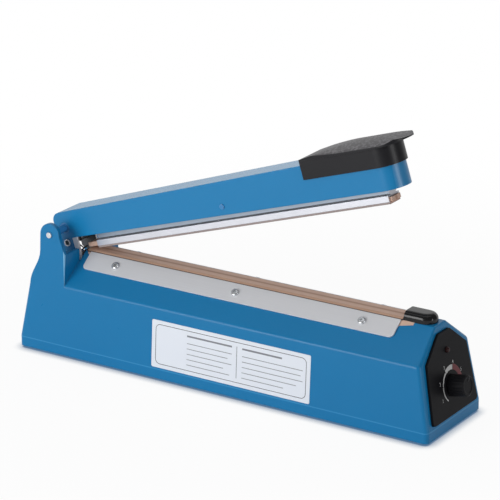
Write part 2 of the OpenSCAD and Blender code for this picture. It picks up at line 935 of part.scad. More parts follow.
module right_terminal() {
    color("#c8a24a")
        difference() {
            block(right_terminal_x, right_terminal_x + terminal_l, terminal_w, ridge_h, ribbon_z);
            translate([right_screw_x, 0, ridge_h - over])
                cylinder(d = small_screw_d + 2 * hair, h = over + tape_z);
        }
}

module left_terminal() {
    top = roof_z - ribbon_t;
    color("#c8a24a")
        difference() {
            block(left_terminal_x, left_terminal_x + terminal_l, terminal_w, top - terminal_h, top);
            translate([left_screw_x, 0, top - terminal_h - over])
                cylinder(d = small_screw_d + 2 * hair, h = terminal_h + 2 * over);
        }
}

module terminal_screws() {
    left_seat = roof_z - ribbon_t - terminal_h;
    color("#cfd1d4") {
        translate([left_screw_x, 0, left_seat])
            mirror([0, 0, 1]) screw(small_screw_d, terminal_screw_l, small_head_d, small_head_t);
        translate([right_screw_x, 0, ribbon_z + ribbon_t])
            screw(small_screw_d, terminal_screw_l, small_head_d, small_head_t);
    }
}

// Transformer
module transformer_core() {
    color("#6d7074")
        difference() {
            block(trafo_x - core_x / 2, trafo_x + core_x / 2, core_y, base_top, base_top + core_z);
            for (side = [-1, 1])
                translate([trafo_x + side * window_x, 0, base_top + leg_x])
                    block(-leg_x / 2, leg_x / 2, core_y + 2 * over, 0, window_z);
        }
}

module transformer_coil() {
    inner_x = leg_x + coil_clear;
    outer_x = 2 * leg_x - coil_clear;
    inner_y = core_y + 2 * coil_clear;
    z0 = base_top + leg_x + coil_clear;
    z1 = z0 + window_z - 2 * coil_clear;
    color("#9c5a34")
        difference() {
            block(trafo_x - outer_x, trafo_x + outer_x, inner_y + 2 * coil_t, z0, z1);
            block(trafo_x - inner_x, trafo_x + inner_x, inner_y, z0 - over, z1 + over);
        }
}

module transformer_strap() {
    side_x = core_x / 2;
    top = base_top + core_z;
    path = [
        [-side_x - strap_foot, base_top], [-side_x, base_top], [-side_x, top],
        [side_x, top], [side_x, base_top], [side_x + strap_foot, base_top]
    ];
    color("#a9acb0")
        difference() {
            translate([trafo_x, 0, 0]) drawn_y(-strap_w / 2, strap_w / 2) strip(path, strap_t);
            at_transformer_bolts() cylinder(d = screw_d + 2 * hair, h = core_z);
        }
}

module at_transformer_bolts() {
    for (side = [-1, 1])
        translate([trafo_x + side * bolt_x, 0, base_in]) children();
}

module transformer_bolts() {
    color("#c4c6ca")
        at_transformer_bolts()
            mirror([0, 0, 1]) screw(screw_d, screw_l, screw_head_d, screw_head_t);
}

module transformer_nuts() {
    nut_h = 3;
    color("#c4c6ca")
        at_transformer_bolts()
            translate([0, 0, base_t + strap_t])
                difference() {
                    cylinder(d = screw_head_d + over, h = nut_h, $fn = 6);
                    translate([0, 0, -over]) cylinder(d = screw_d + 2 * hair, h = nut_h + 2 * over);
                }
}

// Leads from the transformer to the two ends of the ribbon
module left_heater_lead() {
    start = [trafo_x, -core_y / 2 - coil_t / 2, coil_top];
    finish = [left_terminal_x + terminal_l, 0, roof_z - ribbon_t - terminal_h / 2];
    color("#b03a32")
        swept([
            start, [start.x, start.y, lead_z], [finish.x + lead_bend, 0, finish.z], finish
        ], lead_d, [1, 0, 0]);
}

module right_heater_lead() {
    start = [trafo_x, core_y / 2 + coil_t / 2, coil_top];
    color("#b03a32")
        swept([
            start, [start.x, start.y, lead_z], [trafo_x + core_x, 0, lead_run_z],
            [right_lead_x - lead_turn, 0, lead_run_z], [right_lead_x, 0, lead_run_z + lead_turn],
            [right_lead_x, 0, ridge_h]
        ], lead_d, [1, 0, 0]);
}

// Controls
module control_panel() {
    color("#232326")
        difference() {
            end_plate(panel_back, panel_proud);
            end_hole(bush_d + 2 * hair, knob_up, panel_back - over, panel_proud + over);
            end_hole(lamp_d + 2 * hair, lamp_up, panel_back - over, panel_proud + over);
        }
}

module indicator_lamp() {
    flange_d = lamp_d + 1;
    flange_t = 1;
    lead = 0.6;
    lead_gap = 2.5;
    color("#8e1f24")
        end_frame() translate([0, 0, lamp_up]) {
            rod_x(lamp_d, -end_wall - flange_t, panel_proud);
            rod_x(flange_d, -end_wall - flange_t, -end_wall);
            translate([panel_proud, 0, 0]) sphere(d = lamp_d);
            for (side = [-1, 1])
                translate([0, side * lead_gap / 2, 0]) rod_x(lead, board_n, -end_wall - flange_t);
        }
}

module pot_body() {
    color("#7f8286")
        end_frame() translate([0, 0, knob_up])
            difference() {
                union() {
                    rod_x(pot_d, board_n, -end_wall);
                    rod_x(bush_d, -end_wall, panel_proud + nut_t + gap);
                }
                rod_x(shaft_d + 2 * hair, board_n + board_t, panel_proud + nut_t + over);
            }
}

module pot_nut() {
    color("#c4c6ca")
        end_frame() translate([0, 0, knob_up])
            difference() {
                translate([panel_proud, 0, 0]) rotate([0, 90, 0]) cylinder(d = nut_d, h = nut_t, $fn = 6);
                rod_x(bush_d + 2 * hair, 0, panel_proud + nut_t + over);
            }
}

module timer_board() {
    color("#2d6b45")
        end_frame()
            translate([board_n - board_t, -board_w / 2, board_up]) cube([board_t, board_w, board_h]);
}

// The board's inner face, with X pointing into the housing
module board_frame() {
    end_frame() translate([board_n - board_t, 0, board_up]) mirror([1, 0, 0]) children();
}

module board_relay() {
    size = [15, 19, 16];
    place = [0, -22, 24];
    color("#20242c") board_frame() translate(place) cube(size);
}

module board_capacitors() {
    d = 10;
    h = 16;
    up = 33;
    color("#2b2f4a")
        for (y = [8, 20])
            board_frame() translate([0, y, up]) rod_x(d, 0, h);
}

module board_heat_sink() {
    fin_count = 4;
    fin_step = 4;
    fin_t = 1.5;
    w = fin_step * (fin_count - 1) + fin_t;
    h = 18;
    base = 2;
    place = [0, 4, 4];
    color("#b9bcc0")
        board_frame() translate(place) {
            cube([base, w, h]);
            for (i = [0:fin_count - 1])
                translate([0, i * fin_step, 0]) cube([h, fin_t, h]);
        }
}

module timer_knob() {
    groove_d = 1.6;
    hub_d = 9;
    mark_w = 1.4;
    mark_d = 0.6;
    r = knob_d / 2;
    color("#151517")
        end_frame() translate([0, 0, knob_up]) rotate([0, 90, 0])
            difference() {
                translate([0, 0, knob_n]) {
                    cylinder(r = r, h = knob_h - knob_chamfer);
                    translate([0, 0, knob_h - knob_chamfer])
                        cylinder(r1 = r, r2 = r - knob_chamfer, h = knob_chamfer);
                }
                for (i = [0:knob_grooves - 1])
                    rotate([0, 0, (i + 0.5) * 360 / knob_grooves])
                        translate([r, 0, knob_n + knob_cup_h]) cylinder(d = groove_d, h = knob_h);
                translate([0, 0, knob_n - over]) cylinder(d = knob_cup_d, h = knob_cup_h + over);
                translate([0, 0, knob_n]) cylinder(d = shaft_d + 2 * hair, h = knob_h - 2 * knob_chamfer);
                rotate([0, 0, knob_mark])
                    translate([hub_d / 2, -mark_w / 2, knob_n + knob_h - mark_d]) cube([r, mark_w, knob_h]);
            }
}

module pot_shaft() {
    color("#c4c6ca")
        end_frame() translate([0, 0, knob_up])
            rod_x(shaft_d, board_n + board_t + gap, knob_n + knob_h - 2 * knob_chamfer);
}

// Inlet for the mains lead
module cord_gland() {
    outer = body_w / 2 - hair;
    color("#1c1c1e")
        translate([inlet_x, 0, inlet_h])
            difference() {
                union() {
                    rod_y(gland_d, gland_seat - gland_in, outer);
                    rod_y(gland_flange, gland_seat, outer);
                    rod_y(gland_flange, gland_seat - gland_in, gland_grip);
                }
                rod_y(inlet_d, 0, body_w);
            }
}

// Switch
module at_switch_holes() {
    for (side = [-1, 1])
        translate([switch_x + side * switch_hole, 0, switch_hole_z]) children();
}

module micro_switch() {
    color("#2a2a2d")
        difference() {
            translate([switch_x - switch_l / 2, switch_y - switch_w / 2, switch_top - switch_h])
                cube([switch_l, switch_w, switch_h]);
            at_switch_holes() rod_y(small_screw_d + 2 * hair, 0, body_w / 2);
            translate([switch_x, switch_y, plunger_top - plunger_l - plunger_travel - gap])
                cylinder(d = plunger_d + 2 * hair, h = plunger_l + switch_h);
        }
}

module switch_plunger() {
    color("#c2392f")
        translate([switch_x, switch_y, plunger_top - plunger_l]) cylinder(d = plunger_d, h = plunger_l);
}

module at_bracket_screws() {
    y = bracket_y + switch_sheet + switch_foot / 2;
    for (side = [-1, 1])
        translate([switch_x + side * switch_foot_x, y, 0]) children();
}

module switch_bracket() {
    w = 2 * (switch_hole + small_head_d / 2);
    color("#a9acb0")
        difference() {
            union() {
                translate([switch_x - w / 2, bracket_y, base_top])
                    cube([w, switch_sheet, switch_top - base_top]);
                translate([switch_x - w / 2, bracket_y, base_top])
                    cube([w, switch_sheet + switch_foot, switch_sheet]);
            }
            at_switch_holes() rod_y(small_screw_d + 2 * hair, 0, body_w / 2);
            at_bracket_screws() cylinder(d = small_screw_d + 2 * hair, h = screw_l);
        }
}

module switch_screws() {
    l = switch_w + hair + switch_sheet + over;
    color("#c4c6ca") {
        at_switch_holes()
            translate([0, switch_y - switch_w / 2, 0])
                rotate([90, 0, 0]) screw(small_screw_d, l, small_head_d, small_head_t);
        at_bracket_screws()
            translate([0, 0, base_in])
                mirror([0, 0, 1])
                    screw(small_screw_d, base_t + switch_sheet + over, small_head_d, small_head_t);
    }
}

// Return spring
module anchor_pin() {
    reach = anchor_lug_y + anchor_lug_t / 2 + over;
    color("#c4c6ca")
        translate([anchor_at.x, 0, anchor_at.y]) rod_y(anchor_d, -reach, reach);
}

// Points of a hook that ends by leading straight away from its pin, along u and offset along v
hook_steps = 8;
hook_turn = 240;
function hook(at, r, u, v) = [
    for (i = [0:hook_steps])
        let (a = 90 + hook_turn * (1 - i / hook_steps))
        at + r * (cos(a) * u + sin(a) * v)
];

// Points of a coil about the line from a along u, from a straight run into turns and out again
curl_steps = 8;
bend_steps = 3;
function on_coil(a, u, v, w, r, s, angle) = a + s * u + r * (cos(angle) * v + sin(angle) * w);
function lead_in(bend_r, r) = [
    for (i = [0:bend_steps - 1])
        let (b = 90 * i / bend_steps)
        [bend_r * sin(b), bend_r * (1 - cos(b)) / r * 180 / PI]
];

function spring_path(a, b, pin_a, pin_b, wire_d, coil_r, turns) =
    let (u = unit(b - a), w = [0, 1, 0], v = cross(w, u), l = norm(b - a))
    let (bend_r = coil_r, lead = lead_in(bend_r, coil_r), lead_a = bend_r / coil_r * 180 / PI)
    let (s0 = pin_a / 2 + wire_d + over, s1 = l - pin_b / 2 - wire_d - over)
    let (run = s1 - s0 - 2 * bend_r, total = 360 * turns)
    let (sweep = total - 2 * lead_a)
    concat(
        hook(a, coil_r, u, v),
        [for (p = lead) on_coil(a, u, v, w, coil_r, s0 + p[0], p[1])],
        [for (i = [0:curl_steps * turns])
            let (t = i / (curl_steps * turns))
            on_coil(a, u, v, w, coil_r, s0 + bend_r + run * t, lead_a + sweep * t)],
        [for (p = reversed(lead)) on_coil(a, u, v, w, coil_r, s1 - p[0], total - p[1])],
        reversed(hook(b, coil_r, -u, v))
    );

module return_spring() {
    a = [spring_pin_open.x, 0, spring_pin_open.y];
    b = [anchor_at.x, 0, anchor_at.y];
    path = spring_path(a, b, spring_pin_d, anchor_d, return_wire, return_coil_r, return_turns);
    echo("return spring, least gap", least_gap(path, return_wire, curl_steps - 2));
    color("#9da0a4") swept(path, return_wire, [0, 1, 0]);
}

// Arm
module arm_side(roof, wall) {
    x0 = wall - arm_rear;
    x1 = arm_reach - wall;
    top = arm_top - roof;
    corner = arm_corner - wall;
    difference() {
        polygon([
            [x0, -arm_under - roof * over], [x0, top + arm_slope * x0], [x1, top + arm_slope * x1],
            [x1, -arm_under - arm_fall - roof * over]
        ]);
        difference() {
            translate([x0 - over, top + arm_slope * x0 - corner]) square(corner + over);
            translate([x0 + corner, top + arm_slope * x0 - corner]) circle(r = corner);
        }
    }
}

module arm_plan(half, grow) {
    tip = arm_reach - arm_r;
    translate([-arm_rear - grow, -half]) square([tip + arm_rear + grow, 2 * half]);
    translate([tip, 0]) circle(r = half);
}

module arm_outer(grow) {
    intersection() {
        drawn_y(-arm_w, arm_w) arm_side(-grow, -grow);
        translate([0, 0, -arm_w]) linear_extrude(3 * arm_w) arm_plan(arm_r + grow, grow);
    }
}

module arm_shell() {
    color("#3380b8") {
        difference() {
            arm_outer(0);
            intersection() {
                drawn_y(-arm_w, arm_w) arm_side(arm_roof, arm_wall);
                translate([0, 0, -arm_w]) linear_extrude(3 * arm_w) arm_plan(arm_in, -arm_wall);
            }
            rod_y(sleeve_d + 2 * hair, -arm_w, arm_w);
            translate([lug_x, 0, float_pin_z]) rod_y(float_pin_d + 2 * hair, -arm_w, arm_w);
            at_handle_screws() translate([0, 0, -over]) cylinder(d = small_screw_d + 2 * hair, h = arm_w);
            at_bracket_bolts() cylinder(d = small_screw_d + 2 * hair, h = bracket_screw_l + hair);
        }
        for (x = float_spring_xs)
            translate([x, 0, arm_roof_z(x) - post_l]) cylinder(d = post_d, h = post_l + arm_roof / 2);
    }
}

module at_bracket_bolts() {
    for (x = [bracket_bolt_x, 2 * bracket_bolt_x])
        translate([x, 0, web_z - bracket_t]) children();
}

module bracket_side() {
    difference() {
        polygon([
            [web_x, web_z], [-bracket_back, web_z - arm_corner], [-bracket_back, -arm_under],
            [-tail_back, -arm_under - over], [-tail_back, -tail_heel],
            [nose_x - nose_half, -nose_drop], [nose_x + nose_half, -nose_drop],
            [tail_front, -tail_drop], [tail_front + over, -arm_under],
            [bracket_front, 0], [bracket_front, web_z]
        ]);
        circle(d = sleeve_d + 2 * hair);
        translate(spring_pin_at) circle(d = spring_pin_d + 2 * hair);
    }
}

module hinge_bracket() {
    color("#b4b6ba") {
        for (side = [0, 1])
            mirror([0, side, 0]) drawn_y(bracket_in, bracket_out) bracket_side();
        difference() {
            block(web_x, bracket_front, 2 * bracket_out, web_z - bracket_t, web_z);
            at_bracket_bolts()
                translate([0, 0, -over]) cylinder(d = small_screw_d + 2 * hair, h = bracket_t + 2 * over);
        }
    }
}

module bracket_screws() {
    color("#c4c6ca")
        at_bracket_bolts()
            mirror([0, 0, 1]) screw(small_screw_d, bracket_screw_l, small_head_d, small_head_t);
}

module pivot_sleeve() {
    color("#c9b27a")
        difference() {
            rod_y(sleeve_d, -arm_r, arm_r);
            rod_y(pin_d + 2 * hair, -arm_w, arm_w);
        }
}

module spring_pin() {
    color("#c4c6ca")
        translate([spring_pin_at.x, 0, spring_pin_at.y])
            difference() {
                rod_y(spring_pin_d, -bracket_out - over, bracket_out + over);
                rod_y(spring_pin_bore, -arm_w, arm_w);
            }
}

// Handle
module at_handle_screws() {
    for (x = [handle_x + handle_l / 4, handle_x + handle_l * 3 / 5])
        translate([x, 0, arm_roof_z(x - small_head_d)]) children();
}

module handle_skirt() {
    color("#343236")
        difference() {
            intersection() {
                translate([0, 0, handle_top - handle_h])
                    linear_extrude(handle_h) arm_plan(arm_r + skirt_wall, 0);
                translate([handle_x, -arm_w, 0]) cube([handle_l + arm_w, 2 * arm_w, 2 * arm_w]);
            }
            arm_outer(hair);
            at_handle_screws() cylinder(d = small_screw_d + 2 * hair, h = arm_w);
        }
}

// Side and plan of the grip pad, which widens from the arm, swells to a crown and turns up at its tip
function lip(x) = lip_rise * pow(max(0, x - lip_x) / (grip_end - lip_x), 2);
function swell(x) =
    x < crown_x ? sin(90 * (x - handle_x) / crown_l) : cos(90 * (x - crown_x) / (grip_end - crown_x));
function grip_top(x) = handle_top + lip(x) + grip_edge + (grip_t - grip_edge) * swell(x);

module grip_pad() {
    xs = [for (i = [0:grip_steps]) lip_x + (grip_end - lip_x) * i / grip_steps];
    low = concat([[handle_x, handle_top]], [for (x = xs) [x, handle_top + lip(x)]]);
    high = [
        for (i = [2 * grip_steps:-1:0])
            let (x = handle_x + (grip_end - handle_x) * i / (2 * grip_steps))
            [x, grip_top(x)]
    ];
    start_w = arm_w + 2 * skirt_wall;
    flare_l = handle_l / 2;
    flare_w = (grip_w - start_w) / 2;
    round_x = grip_end - grip_w / 2;
    flare = [
        for (i = [0:grip_steps])
            let (t = i / grip_steps)
            [handle_x + flare_l * t, start_w / 2 + flare_w * (1 - cos(180 * t)) / 2]
    ];
    tip = [
        for (i = [0:2 * grip_steps])
            let (a = 90 - 90 * i / grip_steps)
            [round_x + grip_w / 2 * cos(a), grip_w / 2 * sin(a)]
    ];
    color("#6f6e72")
        difference() {
            intersection() {
                drawn_y(-grip_w, grip_w) polygon(concat(low, high));
                drawn_x(handle_x, grip_end)
                    translate([0, handle_top + grip_t - crown_r]) circle(r = crown_r);
                linear_extrude(3 * arm_w)
                    polygon(concat(flare, tip, reversed([for (p = flare) [p.x, -p.y]])));
            }
            at_handle_screws() cylinder(d = small_screw_d + 2 * hair, h = handle_screw_l + over);
        }
}

module handle_screws() {
    color("#c4c6ca")
        at_handle_screws()
            mirror([0, 0, 1]) screw(small_screw_d, handle_screw_l, small_head_d, small_head_t);
}

// Press bar
module float_pin() {
    head_t = 0.8;
    head_d = 4.2;
    color("#3a86bd")
        translate([lug_x, 0, float_pin_z]) {
            rod_y(float_pin_d, -arm_r - head_t / 2, arm_r + head_t / 2);
            for (side = [0, 1])
                mirror([0, side, 0]) rod_y(head_d, arm_r, arm_r + head_t);
        }
}

module float_springs() {
    r = (float_spring_d - float_wire) / 2;
    z0 = rib_z + gap + float_wire / 2;
    color("#9da0a4")
        for (x = float_spring_xs) {
            l = arm_roof_z(x - float_spring_d) - gap - float_wire / 2 - z0;
            count = curl_steps * float_turns;
            path = [
                for (i = [0:count])
                    let (a = 360 * i / curl_steps)
                    [x + r * cos(a), r * sin(a), z0 + l * i / count]
            ];
            echo("float spring, least gap", least_gap(path, float_wire, curl_steps - 2));
            swept(path, float_wire, [0, 0, 1]);
        }
}

module press_profile() {
    color("#dcdde4")
        difference() {
            union() {
                block(press_x0, press_x1, press_w, press_z, flange_z);
                block(press_x0, press_x1, rib_w - 2 * groove_w, flange_z, rib_z);
                block(press_x0, press_x1, rib_w, flange_z + groove_h, rib_z);
                block(lug_x - lug_l / 2, lug_x + lug_l / 2, lug_w, rib_z, float_pin_z + lug_top);
            }
            block(press_x0 - over, press_x1 + over, core_w + 2 * hair, press_z - over, core_top + hair);
            translate([lug_x, 0, float_pin_z]) {
                for (z = [0, -float_l])
                    translate([0, 0, z]) rod_y(float_pin_d + 2 * gap, -press_w, press_w);
                block(-float_pin_d / 2 - gap, float_pin_d / 2 + gap, 2 * press_w, -float_l, 0);
            }
        }
}

module press_core() {
    color("#8d6f60")
        block(press_x0 - core_left, press_x1 + core_right, core_w, press_z, core_top);
}

module pressure_pad() {
    color("#c9a89a")
        block(press_x0, press_x1, pad_w - 2 * cloth_t, pad_seat, press_z);
}

module pad_cover() {
    half = pad_w / 2;
    color("#8d6f60")
        drawn_x(press_x0, press_x1)
            strip([[half, press_z], [half, pad_z], [-half, pad_z], [-half, press_z]], -cloth_t);
}

datum() body_shell();
datum() base_plate();
datum() rubber_feet();
datum() base_screws();
datum() label_plate();
datum() hinge_pin();
datum() pin_spacers();
datum() heater_bar();
datum() insulating_tape();
datum() heating_ribbon();
datum() release_cloth();
datum() front_clamp_plate();
datum() rear_clamp_plate();
datum() clamp_screws();
datum() terminal_cap();
datum() left_terminal();
datum() right_terminal();
datum() terminal_screws();
datum() transformer_core();
datum() transformer_coil();
datum() transformer_strap();
datum() transformer_bolts();
datum() transformer_nuts();
datum() left_heater_lead();
datum() right_heater_lead();
datum() control_panel();
datum() indicator_lamp();
datum() pot_body();
datum() pot_nut();
datum() timer_board();
datum() board_relay();
datum() board_capacitors();
datum() board_heat_sink();
datum() cord_gland();
datum() micro_switch();
datum() switch_bracket();
datum() switch_screws();
datum() anchor_pin();
datum() return_spring();
datum() arm_frame() arm_shell();
datum() arm_frame() hinge_bracket();
datum() arm_frame() pivot_sleeve();
datum() arm_frame() spring_pin();
datum() arm_frame() bracket_screws();
datum() arm_frame() handle_skirt();
datum() arm_frame() grip_pad();
datum() arm_frame() handle_screws();
datum() arm_frame() float_pin();
datum() arm_frame() float_springs();
datum() arm_frame() press_profile();
datum() arm_frame() press_core();
datum() arm_frame() pressure_pad();
datum() arm_frame() pad_cover();
datum() timer_knob();
datum() pot_shaft();
datum() switch_plunger();
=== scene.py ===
# %% [markdown]
# # A hand impulse sealer
# The machine stands on a table: a blue moulded housing with a heated ridge on top, and a sprung arm that
# presses the mouth of a bag onto the ridge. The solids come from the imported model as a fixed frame. Here
# they get their finishes, and the pieces that a solid model shows too plainly are made again by hand.

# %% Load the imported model
import math

import bpy
from mathutils import Matrix, Vector


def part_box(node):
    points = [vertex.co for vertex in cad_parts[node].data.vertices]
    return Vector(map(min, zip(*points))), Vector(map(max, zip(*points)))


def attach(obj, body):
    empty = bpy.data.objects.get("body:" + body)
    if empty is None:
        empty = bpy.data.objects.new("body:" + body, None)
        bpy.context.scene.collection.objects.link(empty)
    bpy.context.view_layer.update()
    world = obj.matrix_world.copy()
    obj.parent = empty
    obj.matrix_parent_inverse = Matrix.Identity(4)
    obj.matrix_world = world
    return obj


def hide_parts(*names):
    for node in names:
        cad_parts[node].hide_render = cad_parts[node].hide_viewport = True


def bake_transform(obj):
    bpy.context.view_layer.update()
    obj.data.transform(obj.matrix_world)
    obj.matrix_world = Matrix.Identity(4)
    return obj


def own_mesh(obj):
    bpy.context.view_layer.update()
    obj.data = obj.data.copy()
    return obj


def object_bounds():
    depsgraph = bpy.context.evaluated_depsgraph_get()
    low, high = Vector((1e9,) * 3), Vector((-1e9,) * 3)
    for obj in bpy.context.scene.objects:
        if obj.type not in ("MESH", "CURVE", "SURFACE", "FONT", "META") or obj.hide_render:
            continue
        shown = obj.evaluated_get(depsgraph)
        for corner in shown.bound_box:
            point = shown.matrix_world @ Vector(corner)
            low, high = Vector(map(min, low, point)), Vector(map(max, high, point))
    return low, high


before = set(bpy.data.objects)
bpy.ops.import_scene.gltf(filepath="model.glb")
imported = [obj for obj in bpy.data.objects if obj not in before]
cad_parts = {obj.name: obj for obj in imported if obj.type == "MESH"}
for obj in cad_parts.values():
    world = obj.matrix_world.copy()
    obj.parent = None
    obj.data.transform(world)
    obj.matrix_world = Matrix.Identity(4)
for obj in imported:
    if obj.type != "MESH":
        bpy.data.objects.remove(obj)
cad_low, cad_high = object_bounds()
print("solids:", len(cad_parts), "box:", [round(v, 4) for v in cad_high - cad_low])

# %% [markdown]
# ## Places
# Lengths on the machine are easiest to think of in millimetres from the housing's left lower end. Most
# pieces sit on the arm, the right end face, one of the two upper faces or the front side. Each of these
# gets a matrix, so that a piece can be modelled flat at the origin and then set in its place.

# %% Matrices of the places
MM = 0.001
LENGTH, HALF_WIDTH, FOOT_H, RIDGE_H, RIDGE_HALF = 400, 43.5, 8.5, 84, 9
left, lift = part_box("body_shell")[0].x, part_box("body_shell")[0].z


def at(x, y, z):
    """A place on the machine, given in millimetres from the housing's left lower end."""
    return Vector((left + x * MM, y * MM, lift + z * MM))


def leaning(place, angle, axis):
    return Matrix.Translation(place) @ Matrix.Rotation(angle, 4, axis)


ARM_OPEN, END_LEAN = math.radians(17.4), math.radians(10.5)
SIDE_LEAN, ROOF_LEAN = math.atan2(4, 52.5), math.atan2(23, 30.5)
arm_place = leaning(at(31, 0, 103), -ARM_OPEN, "Y")
end_place = leaning(at(LENGTH, 0, FOOT_H), -END_LEAN, "Y")
roof_place = leaning(at(0, -RIDGE_HALF, RIDGE_H), ROOF_LEAN, "X")
roof_back = leaning(at(0, RIDGE_HALF, RIDGE_H), -ROOF_LEAN, "X")
side_place = leaning(at(0, -HALF_WIDTH, FOOT_H), -SIDE_LEAN, "X")
print("hinge pin at", [round(v, 4) for v in arm_place.translation])


# %% Small moves, in millimetres and degrees
def moved(x, y, z):
    return Matrix.Translation(Vector((x, y, z)) * MM)


def sized(x, y, z=1.0):
    """A scale that gives a shape of one metre these sides."""
    return Matrix.Diagonal((x * MM, y * MM, z * MM, 1))


def spun(degrees):
    """A turn about the upright axis."""
    return Matrix.Rotation(math.radians(degrees), 4, "Z")


# %% [markdown]
# ## Camera
# The photograph was taken with a long lens from the front right, a little above the machine. The lens and
# the place were worked out by laying the solid model's edges over the picture.

# %% Camera
TURN, RISE, ROLL = math.radians(33.37), math.radians(19.7), math.radians(-0.61)
DISTANCE, FOCAL_PIXELS, FRAME_PIXELS, SENSOR = 2.10313, 2583.31, 500, 36
back = Vector((math.sin(TURN) * math.cos(RISE), -math.cos(TURN) * math.cos(RISE), math.sin(RISE)))
across = Vector((math.cos(TURN), math.sin(TURN), 0))
upward = back.cross(across)
cam_x = across * math.cos(ROLL) + upward * math.sin(ROLL)
cam_y = upward * math.cos(ROLL) - across * math.sin(ROLL)
eye = at(208.52, 0, 111.92) + back * DISTANCE
bpy.ops.object.select_all(action="DESELECT")
bpy.ops.object.camera_add(location=eye)
camera = bpy.context.object
camera.matrix_world = Matrix((
    (cam_x.x, cam_y.x, back.x, eye.x),
    (cam_x.y, cam_y.y, back.y, eye.y),
    (cam_x.z, cam_y.z, back.z, eye.z),
    (0, 0, 0, 1)))
camera.data.sensor_width = SENSOR
camera.data.lens = SENSOR * FOCAL_PIXELS / FRAME_PIXELS
camera.data.clip_end = 20
bpy.context.scene.camera = camera
print("lens", round(camera.data.lens, 1), "mm, eye at", [round(v, 3) for v in eye])

# %% [markdown]
# ## Studio
# A white seamless table stands in a room that is white behind the machine on the left and dim on the
# camera's side, so that flat tops seen at a low angle shine pale while black faces stay black. The main
# softbox stands in front on the left, a weak one hangs above, and a tall one on the right draws bright
# bands on the arm's round tip. The table shows white to the camera and in reflections, but still takes the
# soft shadow, darkest where the machine stands and tinted there by its blue.

# %% Helpers for shader nodes
bpy.context.scene.view_settings.view_transform = "Standard"
WHITE = (1, 1, 1, 1)


def put(tree, kind, inputs=None, **settings):
    """Adds a shader node, sets it up and links or sets its inputs."""
    node = tree.nodes.new("ShaderNode" + kind)
    for name, value in settings.items():
        setattr(node, name, value)
    for name, value in (inputs or {}).items():
        if isinstance(value, bpy.types.NodeSocket):
            tree.links.new(value, node.inputs[name])
        else:
            node.inputs[name].default_value = value
    return node


def calc(tree, operation, *values, clamp=False):
    """The result of a Math node."""
    return put(tree, "Math", dict(enumerate(values)), operation=operation, use_clamp=clamp).outputs[0]


def between(tree, value, low, high, start=0.0, stop=1.0, **settings):
    """Maps a value, as it goes from start to stop, onto the range from low to high."""
    return put(tree, "MapRange", {0: value, 1: start, 2: stop, 3: low, 4: high}, **settings).outputs[0]


def mix(tree, share, first, second):
    return put(tree, "Mix", {0: share, 6: first, 7: second}, data_type="RGBA").outputs[2]


# %% Lights
def softbox(name, place, aim, size, watts):
    bpy.ops.object.light_add(type="AREA", location=place)
    lamp = bpy.context.object
    lamp.name = name
    lamp.data.shape = "RECTANGLE"
    lamp.data.size, lamp.data.size_y = size
    lamp.data.energy = watts
    lamp.rotation_euler = (Vector(aim) - Vector(place)).to_track_quat("-Z", "Y").to_euler()
    print(name, "gives", watts, "watts")


softbox("top_light", (0.0, -0.2, 1.5), (0, 0, 0.08), (1.6, 1.0), 3)
softbox("front_light", (-0.7, -1.9, 0.55), (0, 0, 0.1), (1.4, 1.0), 26)
softbox("strip_light", (2.0, -0.25, 0.42), (0.15, 0, 0.12), (0.6, 0.8), 6.5)

# %% White surroundings
WHITE_SIDE, DIM = (-0.7, 0.71, -0.4), 0.22
world = bpy.data.worlds.new("white_room")
bpy.context.scene.world = world
world.use_nodes = True
tree = world.node_tree
tree.nodes.clear()
path = put(tree, "LightPath")
heading = put(tree, "TexCoord")
depth = put(tree, "VectorMath", {0: heading.outputs["Generated"], 1: WHITE_SIDE}, operation="DOT_PRODUCT")
depth = between(tree, depth.outputs["Value"], DIM, 1.0, -0.1, 0.7, interpolation_type="SMOOTHSTEP")
room = put(tree, "Background", {"Color": WHITE, "Strength": depth})
white = put(tree, "Background", {"Color": WHITE, "Strength": 1.0})
mixed = put(tree, "MixShader", {0: path.outputs["Is Camera Ray"], 1: room.outputs[0], 2: white.outputs[0]})
put(tree, "OutputWorld", {"Surface": mixed.outputs[0]})
print("room: white behind,", DIM, "on the camera's side")

# %% Table
CONTACT_BLUE, CONTACT_REACH, MIRRORED = (0.08, 0.17, 0.3, 1), 0.01, 0.45
bpy.ops.object.select_all(action="DESELECT")
bpy.ops.mesh.primitive_plane_add(size=8, location=(0, 0, cad_low.z))
table = bpy.context.object
table.name = "table"
table_white = bpy.data.materials.new("table_white")
table_white.use_nodes = True
tree = table_white.node_tree
tree.nodes.clear()
path = put(tree, "LightPath")
matt = put(tree, "BsdfDiffuse", {"Color": (0.93, 0.93, 0.94, 1)})
near = put(tree, "AmbientOcclusion", {"Distance": CONTACT_REACH}, samples=16)
tint = mix(tree, between(tree, near.outputs["AO"], 0.0, 1.0, 0.3, 0.95), CONTACT_BLUE, WHITE)
glow = put(tree, "Emission", {"Color": tint, "Strength": 1.0})
spot = put(tree, "TexCoord")
away = put(tree, "VectorMath", {0: spot.outputs["Object"]}, operation="LENGTH")
fade = between(tree, away.outputs["Value"], 0.94, 1.0, 0.2, 0.7, interpolation_type="SMOOTHSTEP")
glossy = calc(tree, "MULTIPLY", path.outputs["Is Glossy Ray"], MIRRORED)
shown = calc(tree, "MAXIMUM", path.outputs["Is Camera Ray"], glossy)
share = calc(tree, "MULTIPLY", shown, fade)
mixed = put(tree, "MixShader", {0: share, 1: matt.outputs[0], 2: glow.outputs[0]})
put(tree, "OutputMaterial", {"Surface": mixed.outputs[0]})
table.data.materials.append(table_white)
print("table:", [round(v, 1) for v in table.dimensions])

# %% [markdown]
# ## Effects that several finishes share
# Mould grain, soft edges, handling marks, drawn lines and a weave turn up on more than one piece. Each is
# made once as a node group that gives masks, heights and normals, and each finish sets its own values.

